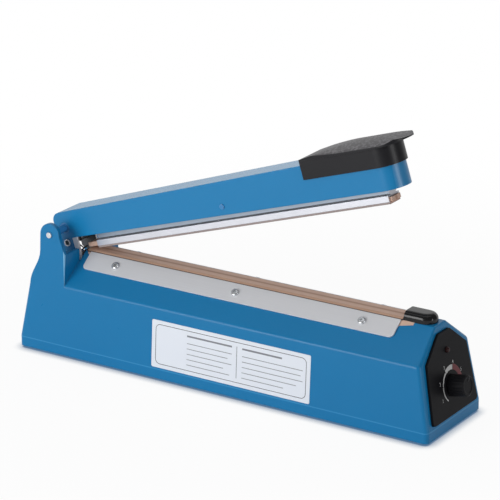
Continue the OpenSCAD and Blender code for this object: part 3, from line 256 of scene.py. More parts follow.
# %% Node group helpers
def new_group(name, inputs, outputs):
    group = bpy.data.node_groups.new(name, "ShaderNodeTree")
    for label, value in inputs.items():
        socket = group.interface.new_socket(label, in_out="INPUT", socket_type="NodeSocketFloat")
        socket.default_value = value
    for label, kind in outputs.items():
        group.interface.new_socket(label, in_out="OUTPUT", socket_type="NodeSocket" + kind)
    return group, group.nodes.new("NodeGroupInput"), group.nodes.new("NodeGroupOutput")


def give(group, outside, **values):
    """Links what a node group gives to its outputs."""
    for name, value in values.items():
        group.links.new(value, outside.inputs[name])


def noise(tree, vector, scale, **more):
    return put(tree, "TexNoise", {"Vector": vector, "Scale": scale, **more}).outputs["Fac"]


# %% Mould grain: a fine pebbled height and slow changes of tone
grain_group, inside, outside = new_group(
    "mould_grain", {"Size": 900.0, "Tone Size": 14.0}, {"Height": "Float", "Tone": "Float"})
place = put(grain_group, "TexCoord").outputs["Object"]
pebble = noise(grain_group, place, inside.outputs["Size"], Detail=3.0, Roughness=0.55)
tone = noise(grain_group, place, inside.outputs["Tone Size"], Detail=5.0, Roughness=0.6)
give(grain_group, outside, Height=pebble, Tone=tone)

# %% Soft edge: rounds the shading of sharp edges and marks them for wear and painted highlights
edge_group, inside, outside = new_group(
    "soft_edge", {"Radius": 0.0006}, {"Normal": "Vector", "Edge": "Float"})
rounded = put(edge_group, "Bevel", {"Radius": inside.outputs["Radius"]}, samples=6).outputs[0]
facing = put(edge_group, "NewGeometry").outputs["True Normal"]
alike = put(edge_group, "VectorMath", {0: rounded, 1: facing}, operation="DOT_PRODUCT").outputs["Value"]
away = calc(edge_group, "SUBTRACT", 1.0, alike, clamp=True)
give(edge_group, outside, Normal=rounded, Edge=calc(edge_group, "MULTIPLY", away, 5.0, clamp=True))

# %% Handling: broad smudges, and dust that settles on what faces up
hand_group, inside, outside = new_group("handling", {"Size": 30.0}, {"Smudge": "Float", "Dust": "Float"})
place = put(hand_group, "TexCoord").outputs["Object"]
smear = noise(hand_group, place, inside.outputs["Size"], Detail=6.0, Roughness=0.65, Distortion=0.6)
speck = noise(hand_group, place, 420.0, Detail=2.0)
facing = put(hand_group, "NewGeometry")
split = put(hand_group, "SeparateXYZ", {0: facing.outputs["Normal"]})
above = calc(hand_group, "MULTIPLY", split.outputs["Z"], smear, clamp=True)
give(hand_group, outside, Smudge=smear, Dust=calc(hand_group, "MULTIPLY", above, speck, clamp=True))

# %% Drawn lines: the fine streaks that rolling or drawing leaves along a bar
line_group, inside, outside = new_group("drawn_lines", {"Fineness": 1.0}, {"Streak": "Float"})
place = put(line_group, "TexCoord")
pull = put(line_group, "Mapping", {"Vector": place.outputs["Object"], "Scale": (12.0, 2600.0, 2600.0)})
streak = noise(line_group, pull.outputs[0], inside.outputs["Fineness"], Detail=3.0, Roughness=0.6)
give(line_group, outside, Streak=streak)

# %% Plain weave: threads over and under, as in coated glass cloth
weave_group, inside, outside = new_group("plain_weave", {"Threads": 9000.0}, {"Height": "Float"})
place = put(weave_group, "TexCoord")
split = put(weave_group, "SeparateXYZ", {0: place.outputs["Object"]})
threads = inside.outputs["Threads"]
warp = calc(weave_group, "SINE", calc(weave_group, "MULTIPLY", split.outputs["X"], threads))
weft = calc(weave_group, "SINE", calc(weave_group, "MULTIPLY", split.outputs["Y"], threads))
give(weave_group, outside, Height=calc(weave_group, "MULTIPLY", warp, weft))
print("node groups:", [g.name for g in bpy.data.node_groups])

# %% [markdown]
# ## Finishes
# Colours are written as they look on the object and turned into the linear values that Blender works in.
# Moulded plastics differ in colour, gloss and grain. Metals differ in colour, roughness and drawn lines.

# %% Finish helpers
def colour(text):
    """A colour written as six hex digits, in linear light."""
    parts = [int(text[i:i + 2], 16) / 255 for i in (0, 2, 4)]
    return tuple(c / 12.92 if c <= 0.04045 else ((c + 0.055) / 1.055) ** 2.4 for c in parts) + (1,)


def new_finish(name, **shader_values):
    """A material with a Principled shader, whose plain numbers are set on the shader itself."""
    finish = bpy.data.materials.new(name)
    finish.use_nodes = True
    tree = finish.node_tree
    tree.nodes.clear()
    shader = put(tree, "BsdfPrincipled", {k.replace("_", " "): v for k, v in shader_values.items()})
    put(tree, "OutputMaterial", {"Surface": shader.outputs[0]})
    return finish, tree, shader


def use_group(tree, group, **values):
    node = tree.nodes.new("ShaderNodeGroup")
    node.node_tree = group
    for name, value in values.items():
        node.inputs[name.replace("_", " ")].default_value = value
    return node


def connect(tree, shader, base, rough, **bump):
    """Links a finish's colour and roughness to its shader, and its height by way of a bump."""
    raised = put(tree, "Bump", bump).outputs[0]
    for socket, value in (("Base Color", base), ("Roughness", rough), ("Normal", raised)):
        tree.links.new(value, shader.inputs[socket])


# %% Moulded plastics and rubber
DUST = "c9c6c0"


def moulded(name, main, shade, rough, grain, depth, worn_edge_and_highlight=None, edge=0.0006, dust=0.0, painted_glint=None, spec=0.5):
    finish, tree, shader = new_finish(name, Specular_IOR_Level=spec)
    grain_node = use_group(tree, grain_group, Size=grain)
    edge_node = use_group(tree, edge_group, Radius=edge)
    hand_node = use_group(tree, hand_group)
    smudge, height = hand_node.outputs["Smudge"], grain_node.outputs["Height"]
    base = mix(tree, between(tree, grain_node.outputs["Tone"], 0.0, 0.9), colour(main), colour(shade))
    # Paler specks on the tops of the grain: painted glints.
    if painted_glint:
        base = mix(tree, between(tree, height, 0.0, 1.0, 0.48, 0.6), base, colour(painted_glint))
    # Edge colour: wear, and on the blue mouldings partly a painted highlight along the edges.
    if worn_edge_and_highlight:
        base = mix(tree, calc(tree, "MULTIPLY", edge_node.outputs["Edge"], smudge), base, colour(worn_edge_and_highlight))
    if dust:
        settled = calc(tree, "MULTIPLY", hand_node.outputs["Dust"], dust, clamp=True)
        base = mix(tree, settled, base, colour(DUST))
    connect(tree, shader, base, between(tree, smudge, rough - 0.07, rough + 0.07),
            Height=height, Normal=edge_node.outputs["Normal"], Strength=depth, Distance=0.0004)
    return finish


# %% Metals
def metal(name, main, shade, rough, lines=1.0, depth=0.08, bare=1.0):
    finish, tree, shader = new_finish(name, Metallic=bare)
    line_node = use_group(tree, line_group, Fineness=lines)
    edge_node = use_group(tree, edge_group, Radius=0.0004)
    hand_node = use_group(tree, hand_group, Size=55.0)
    streak = line_node.outputs["Streak"]
    base = mix(tree, streak, colour(main), colour(shade))
    connect(tree, shader, base, between(tree, hand_node.outputs["Smudge"], rough - 0.08, rough + 0.1),
            Height=streak, Normal=edge_node.outputs["Normal"], Strength=depth, Distance=0.0002)
    return finish


# %% Coated cloth, which the ribbon's heat may have browned along its middle line
BROWN_FULL, BROWN_GONE = 0.8 * MM, 2.2 * MM


def coated_cloth(name, main, shade, rough, browned=None):
    finish, tree, shader = new_finish(name)
    weave_node = use_group(tree, weave_group)
    hand_node = use_group(tree, hand_group, Size=40.0)
    grain_node = use_group(tree, grain_group, Size=160.0, Tone_Size=30.0)
    base = mix(tree, grain_node.outputs["Tone"], colour(main), colour(shade))
    if browned:
        place = put(tree, "TexCoord")
        split = put(tree, "SeparateXYZ", {0: place.outputs["Object"]})
        aside = calc(tree, "ABSOLUTE", split.outputs["Y"])
        base = mix(tree, between(tree, aside, 0.0, 1.0, BROWN_GONE, BROWN_FULL), base, colour(browned))
    connect(tree, shader, base, between(tree, hand_node.outputs["Smudge"], rough - 0.1, rough + 0.1),
            Height=weave_node.outputs["Height"], Strength=0.25, Distance=0.0001)
    return finish


# %% The finishes of this machine
# Each row has the main colour, a darker shade, the roughness, and what else the finish needs.
# In a plastic that is the size and the depth of its grain and the colour of worn edges, which on the
# blue mouldings is also a painted highlight, in a metal the fineness and the depth of its lines, and in a
# cloth the colour of its browned line.
plastics = {
    # The worn edge colour of the blue mouldings is partly a painted highlight along their edges.
    "housing_blue": ("1078ae", "0d73a9", 0.3, 1100, 0.03, "2480b8",
                     {"edge": 0.0012, "dust": 0.02, "spec": 0.26}),
    # The arm's blue is a little paler than the housing's: painted light for the arm's brighter sides.
    "arm_blue_painted_lighter": ("157fb6", "127ab1", 0.3, 1100, 0.03, "2a88c0",
                 {"edge": 0.0012, "dust": 0.02, "spec": 0.36}),
    # The top's paler blue is a painted sheen; its higher gloss is real.
    "polished_painted_sheen_blue": ("3793c6", "338ec1", 0.24, 1100, 0.03, {"dust": 0.02, "spec": 0.9}),
    "tip_blue": ("157fb6", "127ab1", 0.32, 1100, 0.03, {"dust": 0.02, "spec": 0.7}),
    # Paler blue for the bevel above the foot: a painted highlight line.
    "foot_highlight_blue": ("2788bd", "2383b8", 0.3, 1100, 0.03, {"spec": 0.4}),
    # Pale blue for the bevel of the tower's inner edge: a painted highlight.
    "edge_highlight_blue": ("7ab8de", "70afd6", 0.3, 1100, 0.03),
    "black_plastic": ("19191d", "151519", 0.34, 900, 0.08, "4a4a4d", {"dust": 0.04, "spec": 0.28}),
    "panel_black": ("17171a", "131316", 0.42, 900, 0.06, "2c2c2f", {"spec": 0.08}),
    # Grey face of the pad: a painted sheen; its pale specks are painted glints.
    "grey_grip": ("454448", "39383c", 0.5, 420, 0.9, "5a595d", {"dust": 0.1, "painted_glint": "67666a"}),
    "gloss_black": ("0e0e10", "0a0a0c", 0.16, 500, 0.02, "3a3a3d", {"spec": 0.4}),
    "blue_pin": ("3a86bd", "2f79b6", 0.3, 700, 0.04, "9fc3de"),
    "silicone": ("c7a596", "b89484", 0.55, 700, 0.06),
    "foot_rubber": ("252527", "1b1b1d", 0.75, 800, 0.25, "3b3b3d", {"dust": 0.25}),
    "board_green": ("2c6b45", "245a3a", 0.35, 400, 0.05),
    "capacitor_sleeve": ("2b2f52", "22264a", 0.3, 500, 0.03),
    "wire_red": ("9a2a26", "8a2320", 0.45, 600, 0.04),
    "lamp_red": ("2c0d0d", "250b0b", 0.25, 500, 0.02, {"spec": 0.2}),
    "button_red": ("b03430", "982a27", 0.4, 700, 0.05),
    "label_white": ("e5eaf2", "e0e5ed", 0.4, 900, 0.02),
    "print_black": ("2c2c30", "232327", 0.55, 900, 0.02),
    "print_grey": ("8a8d94", "7c7f86", 0.55, 900, 0.02),
    "dial_white": ("c6c6c6", "bdbdbd", 0.5, 900, 0.03),
    "dial_red": ("6c1924", "601620", 0.5, 900, 0.03),
    "knob_grey": ("353538", "2e2e31", 0.5, 900, 0.03),
}
metals = {
    "sheet_steel": ("e6e7ea", "dcdde1", 0.5, {"bare": 0.45}),
    "bright_steel": ("e6e7e9", "d2d4d7", 0.3, {"bare": 0.7}),
    "zinc": ("dfe2e5", "c6c9cd", 0.22, {"bare": 0.95}),
    "alloy": ("dfe0e6", "cfd1d8", 0.38),
    # Dark steel paints shade: on the pull spring, the bracket's inner faces and the press bar's groove.
    "painted_shade_steel": ("66686b", "515357", 0.5),
    # Painted shade for the press bar's rib under the arm.
    "shaded_alloy": ("a9b3be", "9aa5b2", 0.45),
    "core_steel": ("6f7174", "55585c", 0.5, 3.0, 0.3),
    "winding": ("a2592f", "7f421f", 0.4, 0.5, 0.6, {"bare": 0.5}),
    "brass": ("d8b25c", "c29a46", 0.3),
    "nichrome": ("b4aea6", "97918a", 0.4),
}
cloths = {
    "release_fabric": ("dfbca8", "cba894", 0.6, "b48d77"),
    # Darker copies of the cloth: painted shade on the folds and a painted shadow line above the plates.
    "fold_shade_fabric": ("c5a18a", "b08d77", 0.6),
    "plate_shadow_fabric": ("4c3a30", "3f3027", 0.6),
    "worn_fabric": ("a29490", "918480", 0.55),
}
finishes = {}
for make, rows in ((moulded, plastics), (metal, metals), (coated_cloth, cloths)):
    for name, row in rows.items():
        plain = [value for value in row if not isinstance(value, dict)]
        named = row[-1] if isinstance(row[-1], dict) else {}
        finishes[name] = make(name, *plain, **named)
print("finishes:", len(finishes))

# %% Which solid has which finish
worn_by = {
    "housing_blue": "body_shell",
    "arm_blue_painted_lighter": "arm_shell",
    "black_plastic": "handle_skirt cord_gland board_relay micro_switch",
    "panel_black": "control_panel timer_knob",
    "grey_grip": "grip_pad",
    "gloss_black": "terminal_cap",
    "sheet_steel": "base_plate front_clamp_plate rear_clamp_plate hinge_bracket"
                   " transformer_strap switch_bracket",
    "bright_steel": "base_screws hinge_pin clamp_screws terminal_screws transformer_bolts"
                    " transformer_nuts switch_screws anchor_pin return_spring spring_pin bracket_screws"
                    " handle_screws float_springs pot_nut pot_shaft pot_body",
    "blue_pin": "float_pin pin_spacers pivot_sleeve",
    "alloy": "heater_bar press_profile board_heat_sink",
    "core_steel": "transformer_core",
    "winding": "transformer_coil",
    "brass": "left_terminal right_terminal",
    "nichrome": "heating_ribbon",
    "release_fabric": "insulating_tape release_cloth pad_cover press_core",
    "silicone": "pressure_pad",
    "foot_rubber": "rubber_feet",
    "board_green": "timer_board",
    "capacitor_sleeve": "board_capacitors",
    "wire_red": "left_heater_lead right_heater_lead",
    "lamp_red": "indicator_lamp",
    "button_red": "switch_plunger",
    "label_white": "label_plate",
}
for slot, names in worn_by.items():
    for name in names.split():
        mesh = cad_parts[name].data
        mesh.materials.clear()
        mesh.materials.append(finishes[slot])
print("dressed solids:", sum(len(n.split()) for n in worn_by.values()), "of", len(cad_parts))

# %% [markdown]
# ## Hand tools
# Each new piece is made as one would by hand: add a primitive, open it in edit mode, select faces or edges,
# extrude, inset or bevel them, and apply the modifiers at the end. Operators act on all that is selected,
# so these helpers first let go of everything and then select by place or direction.

# %% Holding and picking
def hold(piece):
    """Makes one piece the only selected one, in object mode."""
    active = bpy.context.view_layer.objects.active
    if active and active.mode != "OBJECT":
        bpy.ops.object.mode_set(mode="OBJECT")
    bpy.ops.object.select_all(action="DESELECT")
    piece.select_set(True)
    bpy.context.view_layer.objects.active = piece


def pick(piece, kind, test):
    """Opens a piece in edit mode with only those points, edges or faces selected that pass a test."""
    hold(piece)
    bpy.ops.object.mode_set(mode="EDIT")
    bpy.ops.mesh.select_mode(type=kind)
    bpy.ops.mesh.select_all(action="DESELECT")
    bpy.ops.object.mode_set(mode="OBJECT")
    mesh = piece.data
    if kind == "FACE":
        chosen = [(face, test(face.center, face.normal)) for face in mesh.polygons]
    elif kind == "EDGE":
        chosen = [(edge, test(*(mesh.vertices[i].co for i in edge.vertices))) for edge in mesh.edges]
    else:
        chosen = [(point, test(point.co)) for point in mesh.vertices]
    for part, wanted in chosen:
        part.select = bool(wanted)
    bpy.ops.object.mode_set(mode="EDIT")
    return sum(1 for part, wanted in chosen if wanted)


def paint_picked(piece, finish):
    """Gives the faces that are selected a finish of their own, and leaves edit mode."""
    piece.data.materials.append(finishes[finish])
    piece.active_material_index = len(piece.data.materials) - 1
    bpy.ops.object.material_slot_assign()
    bpy.ops.object.mode_set(mode="OBJECT")


# %% Starting and shaping
def set_on(piece, place):
    """Moves a piece that was modelled at the origin onto its face, and keeps the place in its mesh."""
    hold(piece)
    piece.matrix_world = place
    bpy.ops.object.transform_apply(location=True, rotation=True, scale=True)


def start_from(add_shape, place, **measures):
    """Adds a primitive, of one metre if it has no measures, and brings it to its size and place."""
    bpy.ops.object.select_all(action="DESELECT")
    add_shape(**(measures or {"size": 1}))
    piece = bpy.context.object
    set_on(piece, place)
    return piece


def extrude(x=0.0, y=0.0, z=0.0):
    bpy.ops.mesh.extrude_region_move(TRANSFORM_OT_translate={"value": (x, y, z)})


def draw_in(share):
    """Scales what is selected towards the upright axis, or away from it."""
    bpy.ops.transform.resize(value=(share, share, 1), center_override=(0, 0, 0))


def round_edges(width, segments, **settings):
    """Bevels the edges that are selected, to a width in millimetres."""
    bpy.ops.mesh.bevel(offset=width * MM, segments=segments, affect="EDGES", **settings)


def add_modifier(piece, kind, **settings):
    """Adds a modifier and applies it."""
    hold(piece)
    modifier = piece.modifiers.new(kind.lower(), kind)
    for name, value in settings.items():
        setattr(modifier, name, value)
    bpy.ops.object.modifier_apply(modifier=modifier.name)


def thicken(piece, thickness):
    """Gives a sheet its thickness in millimetres, half of it to each side."""
    add_modifier(piece, "SOLIDIFY", thickness=thickness * MM, offset=0)


def join(pieces):
    """Joins pieces into the first of them."""
    hold(pieces[0])
    for piece in pieces:
        piece.select_set(True)
    bpy.ops.object.join()
    return pieces[0]


# %% Finishing a piece
def smooth(piece, degrees):
    """Smooth shading that breaks at sharp edges, with large flat faces kept flat."""
    hold(piece)
    bpy.ops.object.shade_smooth_by_angle(angle=math.radians(degrees))
    add_modifier(piece, "WEIGHTED_NORMAL", keep_sharp=True)


def outward(piece):
    """Merges doubled points and turns all faces outwards."""
    pick(piece, "FACE", lambda c, n: True)
    bpy.ops.mesh.remove_doubles(threshold=0.005 * MM)
    bpy.ops.mesh.normals_make_consistent(inside=False)
    bpy.ops.object.mode_set(mode="OBJECT")


def settle(piece, name, slot, body, *nodes, finish=None):
    """Names a piece, gives it a finish if it has none yet, and fixes it to the body it moves with."""
    hold(piece)
    piece.name = piece.data.name = name
    if not piece.data.materials:
        piece.data.materials.append(finishes[finish or slot])
    if body:
        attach(piece, body)
    if nodes:
        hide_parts(*nodes)
    size = [round(v / MM, 1) for v in piece.dimensions]
    print(name, "faces:", len(piece.data.polygons), "size in mm:", size)


# %% Copies of solids
def worked_copy(node, flat=0.4):
    """A copy of a solid's mesh with its loose triangles merged, and those of one flat face joined."""
    piece = bpy.data.objects.new(node + "_copy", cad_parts[node].data.copy())
    bpy.context.scene.collection.objects.link(piece)
    hold(piece)
    bpy.ops.mesh.customdata_custom_splitnormals_clear()
    bpy.ops.object.mode_set(mode="EDIT")
    bpy.ops.mesh.select_all(action="SELECT")
    bpy.ops.mesh.remove_doubles(threshold=0.01 * MM)
    bpy.ops.mesh.dissolve_limited(angle_limit=math.radians(flat))
    bpy.ops.object.mode_set(mode="OBJECT")
    return piece


def rounded_copy(node, width, segments, sharp, flat=0.1):
    """A worked copy whose edges sharper than an angle are rounded, to a width in millimetres."""
    piece = worked_copy(node, flat)
    add_modifier(piece, "BEVEL", width=width * MM, segments=segments, limit_method="ANGLE",
                 angle_limit=math.radians(sharp))
    return piece


# %% [markdown]
# ## Housing
# One deep moulding in blue plastic, with leaning ends, sloping upper faces and two ears for the hinge. The
# solid has its shape already. A merged copy can carry smooth shading over the rounded edges, so that the
# shoulder and the corner catch a thin line of light, while the large faces stay flat. The inner edge of the
# tower gets a bevel, and the bevel's faces a pale blue that is a painted highlight. The edge above the foot
# is rounded too, and its bevel gets a paler blue that paints a faint highlight line.

# %% Housing
NEAR = 0.05 * MM
housing = worked_copy("body_shell")
inner_edge, foot_z = at(47, -30, 40), at(0, 0, FOOT_H).z


def on_inner_edge(p):
    return abs(p.x - inner_edge.x) < NEAR and p.y < inner_edge.y and p.z > inner_edge.z


rim = pick(housing, "EDGE", lambda a, b: on_inner_edge(a) and on_inner_edge(b) and abs(a.z - b.z) > 4 * MM)
round_edges(1.5, 3, clamp_overlap=False)
# Pale blue on the bevel: a painted highlight.
paint_picked(housing, "edge_highlight_blue")
foot = pick(housing, "EDGE", lambda a, b: abs(a.z - foot_z) < NEAR and abs(b.z - foot_z) < NEAR)
round_edges(0.5, 2)
# Paler blue on the bevel above the foot: a painted highlight line.
paint_picked(housing, "foot_highlight_blue")
print("edges of the tower rounded:", rim, "edges above the foot:", foot)
smooth(housing, 32)
settle(housing, "housing", "housing_blue", "base", "body_shell")

# %% [markdown]
# ## Arm
# A long box-shaped moulding, open below. On the real one the top edges are rounded by about one millimetre
# and shine as a pale line. The copy is turned level, its top edges are selected by their place on the
# sloping roof, and they are bevelled. Hands and sleeves polish the top and the round tip, so these are
# glossier than the sides. The top also gets a paler blue as a painted sheen, and the whole arm a blue a
# little paler than the housing's, as painted light.

# %% Arm
ROOF_Z, ROOF_RISE, CORNER_R = 14, 8 / 338, 7
arm = worked_copy("arm_shell")
set_on(arm, arm_place.inverted())


def on_roof_rim(point):
    x, y, z = (v / MM for v in point)
    roof = abs(z - ROOF_Z - x * ROOF_RISE) < 0.06
    corner = x < -2.9 and z > 6.5 and abs(math.hypot(x + 3, z - 6.8) - CORNER_R) < 0.12
    return abs(y) > 15.2 and (roof or corner)


rim = pick(arm, "EDGE", lambda a, b: on_roof_rim(a) and on_roof_rim(b))
round_edges(1.1, 4, clamp_overlap=True)
top = pick(arm, "FACE", lambda c, n: n.z > 0.98 and c.z > 10 * MM)
# Paler blue on the top: a painted sheen.
paint_picked(arm, "polished_painted_sheen_blue")
tip = pick(arm, "FACE", lambda c, n: n.x > 0.72 and c.x > 323 * MM)
paint_picked(arm, "tip_blue")
print("edges rounded:", rim, "polished faces of the top:", top, "and of the tip:", tip)
set_on(arm, arm_place)
smooth(arm, 32)
settle(arm, "arm", "housing_blue", "arm", "arm_shell")

# %% [markdown]
# ## Handle
# A dark skirt fits over the end of the arm, and a crowned pad with a pebbled face covers it and turns up at
# the tip. Both are copies of the solids with their rims rounded by a bevel modifier. Only the pad's face
# has the pebbled finish, whose grey is a painted sheen and whose pale specks are painted glints. Its rim is
# as smooth and black as the skirt, so the faces that point sideways or down get that finish.

# %% Skirt and grip of the handle
skirt = rounded_copy("handle_skirt", 0.5, 3, 40, flat=0.4)
smooth(skirt, 40)
settle(skirt, "handle_shell", "black_plastic", "arm", "handle_skirt")
grip = rounded_copy("grip_pad", 0.45, 3, 50, flat=0.4)
arm_up = arm_place.to_3x3() @ Vector((0, 0, 1))
# The rim gets the black; the face keeps its grey, a painted sheen.
rim = pick(grip, "FACE", lambda c, n: n.dot(arm_up) < 0.8)
paint_picked(grip, "black_plastic")
print("faces of the pad's rim:", rim)
smooth(grip, 40)
settle(grip, "soft_grip", "grey_grip", "arm", "grip_pad")

# %% [markdown]
# ## Terminal cap
# A glossy black hood over the end of the heating ribbon. The solid's hood is made of flat facets, so the
# merged copy only needs smooth shading to show the long highlight.

# %% Terminal cap
cap = worked_copy("terminal_cap", 0.1)
smooth(cap, 44)
settle(cap, "terminal_hood", "gloss_black", "base", "terminal_cap")

# %% [markdown]
# ## Release cloth
# A strip of coated glass cloth lies over the heating bar and runs down both upper faces under the clamp
# plates. It starts as a plane on top of the bar. Its long edges are pulled out and down in two folds, its
# corners are drawn under the plates and the cap, the folds are rounded, and the strip gets its thickness
# last. The folds get a darker copy of the cloth as painted shade, and the lowest ones, just above the
# plates, a much darker one as a painted shadow line.

# %% Release cloth: the strip, its folds and its ends
CLOTH_T, CLOTH_L, CLOTH_START, CLOTH_TOP = 0.3, 307.2, 49.8, 85.85
FOLDS = ((1.97, 1.72), (4.4, 3.32), (8.38, 6.32))
left_end, right_end, flap_end = (at(x, 0, 0).x for x in (50, 356, 367))
cloth = start_from(bpy.ops.mesh.primitive_plane_add,
                   Matrix.Translation(at(CLOTH_START + CLOTH_L / 2, 0, CLOTH_TOP)) @ sized(CLOTH_L, 14.2))
for side in (-1, 1):
    pick(cloth, "EDGE", lambda a, b: a.y * side > 7 * MM and b.y * side > 7 * MM)
    for out, down in FOLDS:
        extrude(y=side * out * MM, z=-down * MM)
pick(cloth, "VERT", lambda p: p.x < left_end and abs(p.y) > 12 * MM)
bpy.ops.transform.translate(value=(6 * MM, 0, 0))
pick(cloth, "VERT", lambda p: p.x > right_end and abs(p.y) > 20 * MM)
bpy.ops.transform.translate(value=(-6 * MM, 0, 0))
for side in (-1, 1):
    pick(cloth, "EDGE", lambda a, b: all(p.x > right_end and 9 * MM < p.y * side < 14 * MM for p in (a, b)))
    extrude(x=11 * MM)
    pick(cloth, "VERT", lambda p: p.x > flap_end and p.y * side > 13 * MM)
    bpy.ops.transform.translate(value=(0, -side * 2.4 * MM, 1.81 * MM))
pick(cloth, "EDGE", lambda a, b: max(a.x, b.x) < left_end and min(a.z, b.z) > at(0, 0, CLOTH_TOP - 0.05).z)
extrude(x=-0.15 * MM, z=-1.7 * MM)
bpy.ops.object.mode_set(mode="OBJECT")
print("strip with folds and ends, faces:", len(cloth.data.polygons))

# %% Release cloth: round folds, thickness and painted shade
LEVEL = 0.001 * MM
pick(cloth, "EDGE", lambda a, b: abs(a.x - b.x) > 200 * MM)
bpy.ops.mesh.subdivide(number_cuts=47)
folds = pick(cloth, "EDGE", lambda a, b: abs(a.z - b.z) < LEVEL and abs(a.y - b.y) < LEVEL
             and 5 * MM < abs(a.y) < 10 * MM)
round_edges(0.7, 3)
thicken(cloth, CLOTH_T)
outward(cloth)
cloth.data.materials.append(finishes["release_fabric"])
# Darker copies of the cloth: painted shade on the folds, a painted shadow line above the plates.
fold_shade = pick(cloth, "FACE", lambda c, n: 7.0 * MM < abs(c.y) <= 8.6 * MM)
paint_picked(cloth, "fold_shade_fabric")
plate_shadow = pick(cloth, "FACE", lambda c, n: 8.6 * MM < abs(c.y) < 9.8 * MM)
paint_picked(cloth, "plate_shadow_fabric")
print("fold edges:", folds, "creased faces:", fold_shade, "soiled faces:", plate_shadow)
smooth(cloth, 50)
settle(cloth, "ptfe_strip", "release_fabric", "base", "release_cloth")

# %% [markdown]
# ## Pressure pad
# Under the press bar sits a strip of soft silicone in a cover of the same coated cloth. The strip is a box
# with rounded long edges, and its upper face gives way a little under the bar. The cover is a sheet folded
# up round its two sides.

# %% Pressure pad, modelled level and then turned with the arm
PAD_L, PAD_MID, PAD_LOW, PAD_TOP = 297, 173, -22.4, -20.8
pad = start_from(bpy.ops.mesh.primitive_cube_add,
                 moved(PAD_MID, 0, (PAD_LOW + PAD_TOP) / 2) @ sized(PAD_L, 15.3, PAD_TOP - PAD_LOW))
pick(pad, "EDGE", lambda a, b: abs(a.x - b.x) > 100 * MM)
round_edges(0.5, 4)
pick(pad, "EDGE", lambda a, b: abs(a.y - b.y) > 10 * MM)
bpy.ops.mesh.subdivide(number_cuts=7)
pick(pad, "VERT", lambda p: p.z > (PAD_TOP - 0.2) * MM and abs(p.y) < 6.5 * MM)
bpy.ops.transform.translate(value=(0, 0, -0.12 * MM))
smooth(pad, 60)
set_on(pad, arm_place)
settle(pad, "silicone_pad", "silicone", "press_bar", "pressure_pad")

# %% Cover of the pad
cover = start_from(bpy.ops.mesh.primitive_plane_add, moved(PAD_MID, 0, PAD_LOW - 0.15) @ sized(PAD_L, 15.7))
for side in (-1, 1):
    pick(cover, "EDGE", lambda a, b: a.y * side > 7 * MM and b.y * side > 7 * MM)
    extrude(z=1.75 * MM)
pick(cover, "EDGE", lambda a, b: abs(a.x - b.x) > 100 * MM and max(a.z, b.z) < (PAD_LOW - 0.1) * MM)
round_edges(0.45, 4)
pick(cover, "EDGE", lambda a, b: abs(a.x - b.x) > 100 * MM)
bpy.ops.mesh.subdivide(number_cuts=40)
thicken(cover, 0.28)
outward(cover)
smooth(cover, 50)
set_on(cover, arm_place)
settle(cover, "pad_cloth", "release_fabric", "press_bar", "pad_cover", finish="worn_fabric")

# %% [markdown]
# ## Clamp plates
# Two plates of brushed sheet steel hold the cloth's edges. Their rims were broken when they were stamped,
# so the copies get a small bevel that draws a bright line along them.

# %% Clamp plates
for node in ("front_clamp_plate", "rear_clamp_plate"):
    plate = rounded_copy(node, 0.35, 2, 50)
    smooth(plate, 40)
    settle(plate, node.replace("clamp", "holding"), "sheet_steel", "base", node)


# %% [markdown]
# ## Clamp screws
# Three pan-head screws hold each clamp plate. They are plated with zinc and shine more than the plates. One
# is modelled standing at the origin: a cylinder whose top face is extruded and drawn in three times into a
# dome, a thin shank below, and a cross cut into the top by a boolean. Six copies of this pattern are set in
# place, each turned a little differently, as screws are.

# %% One cross-head screw
DOME = ((0.24, 0.93), (0.17, 0.85), (0.09, 0.68))


def cross_screw(head_r, head_h, shank_r, shank_l):
    screw = start_from(bpy.ops.mesh.primitive_cylinder_add, Matrix.Translation((0, 0, 0.25 * head_h)),
                       vertices=40, radius=head_r, depth=0.5 * head_h)
    pick(screw, "FACE", lambda c, n: n.z > 0.9)
    for rise, draw in DOME:
        extrude(z=rise * head_h)
        draw_in(draw)
    pick(screw, "FACE", lambda c, n: n.z < -0.9)
    bpy.ops.mesh.inset(thickness=head_r - shank_r)
    extrude(z=-shank_l)
    bpy.ops.object.mode_set(mode="OBJECT")
    slot = Matrix.Diagonal((1.15 * head_r, 0.26 * head_r, 1.1 * head_h, 1))
    cutter = start_from(bpy.ops.mesh.primitive_cube_add, Matrix.Translation((0, 0, head_h)) @ slot)
    pick(cutter, "FACE", lambda c, n: n.z < -0.9)
    draw_in(0.55)
    for degrees in (0, 90):
        cutter.rotation_euler.z = math.radians(degrees)
        bpy.context.view_layer.update()
        add_modifier(screw, "BOOLEAN", operation="DIFFERENCE", object=cutter, solver="EXACT")
    bpy.data.objects.remove(cutter)
    smooth(screw, 30)
    return screw


def copy_to(piece, place):
    """A copy with a mesh of its own, set at a place."""
    hold(piece)
    bpy.ops.object.duplicate(linked=False)
    twin = bpy.context.object
    set_on(twin, place)
    return twin


# %% Six clamp screws, joined into one piece
SCREW_X, SCREW_STEP, SCREW_Y, PLATE_T = 85, 120, 9.25, 1.5
pattern = cross_screw(3.5 * MM, 2.0 * MM, 1.75 * MM, 11.5 * MM)
placed = []
for step, twist in enumerate((18, 64, 40)):
    for face, side in ((roof_place, -1), (roof_back, 1)):
        seat = moved(SCREW_X + SCREW_STEP * step, side * SCREW_Y, PLATE_T)
        placed.append(copy_to(pattern, face @ seat @ spun(twist + 25 * side)))
settle(join(placed), "plate_screws", "bright_steel", "base", "clamp_screws", finish="zinc")
bpy.data.objects.remove(pattern)

# %% [markdown]
# ## Timer knob
# A black knob with shallow flutes and a low moulded line on its face. It is turned from a many-sided
# cylinder that tapers a little to the front. The face is inset into a low dome with a sunk middle and the
# back is hollowed out over the nut. The flutes come last: groups of points on the side are drawn in towards
# the axis.

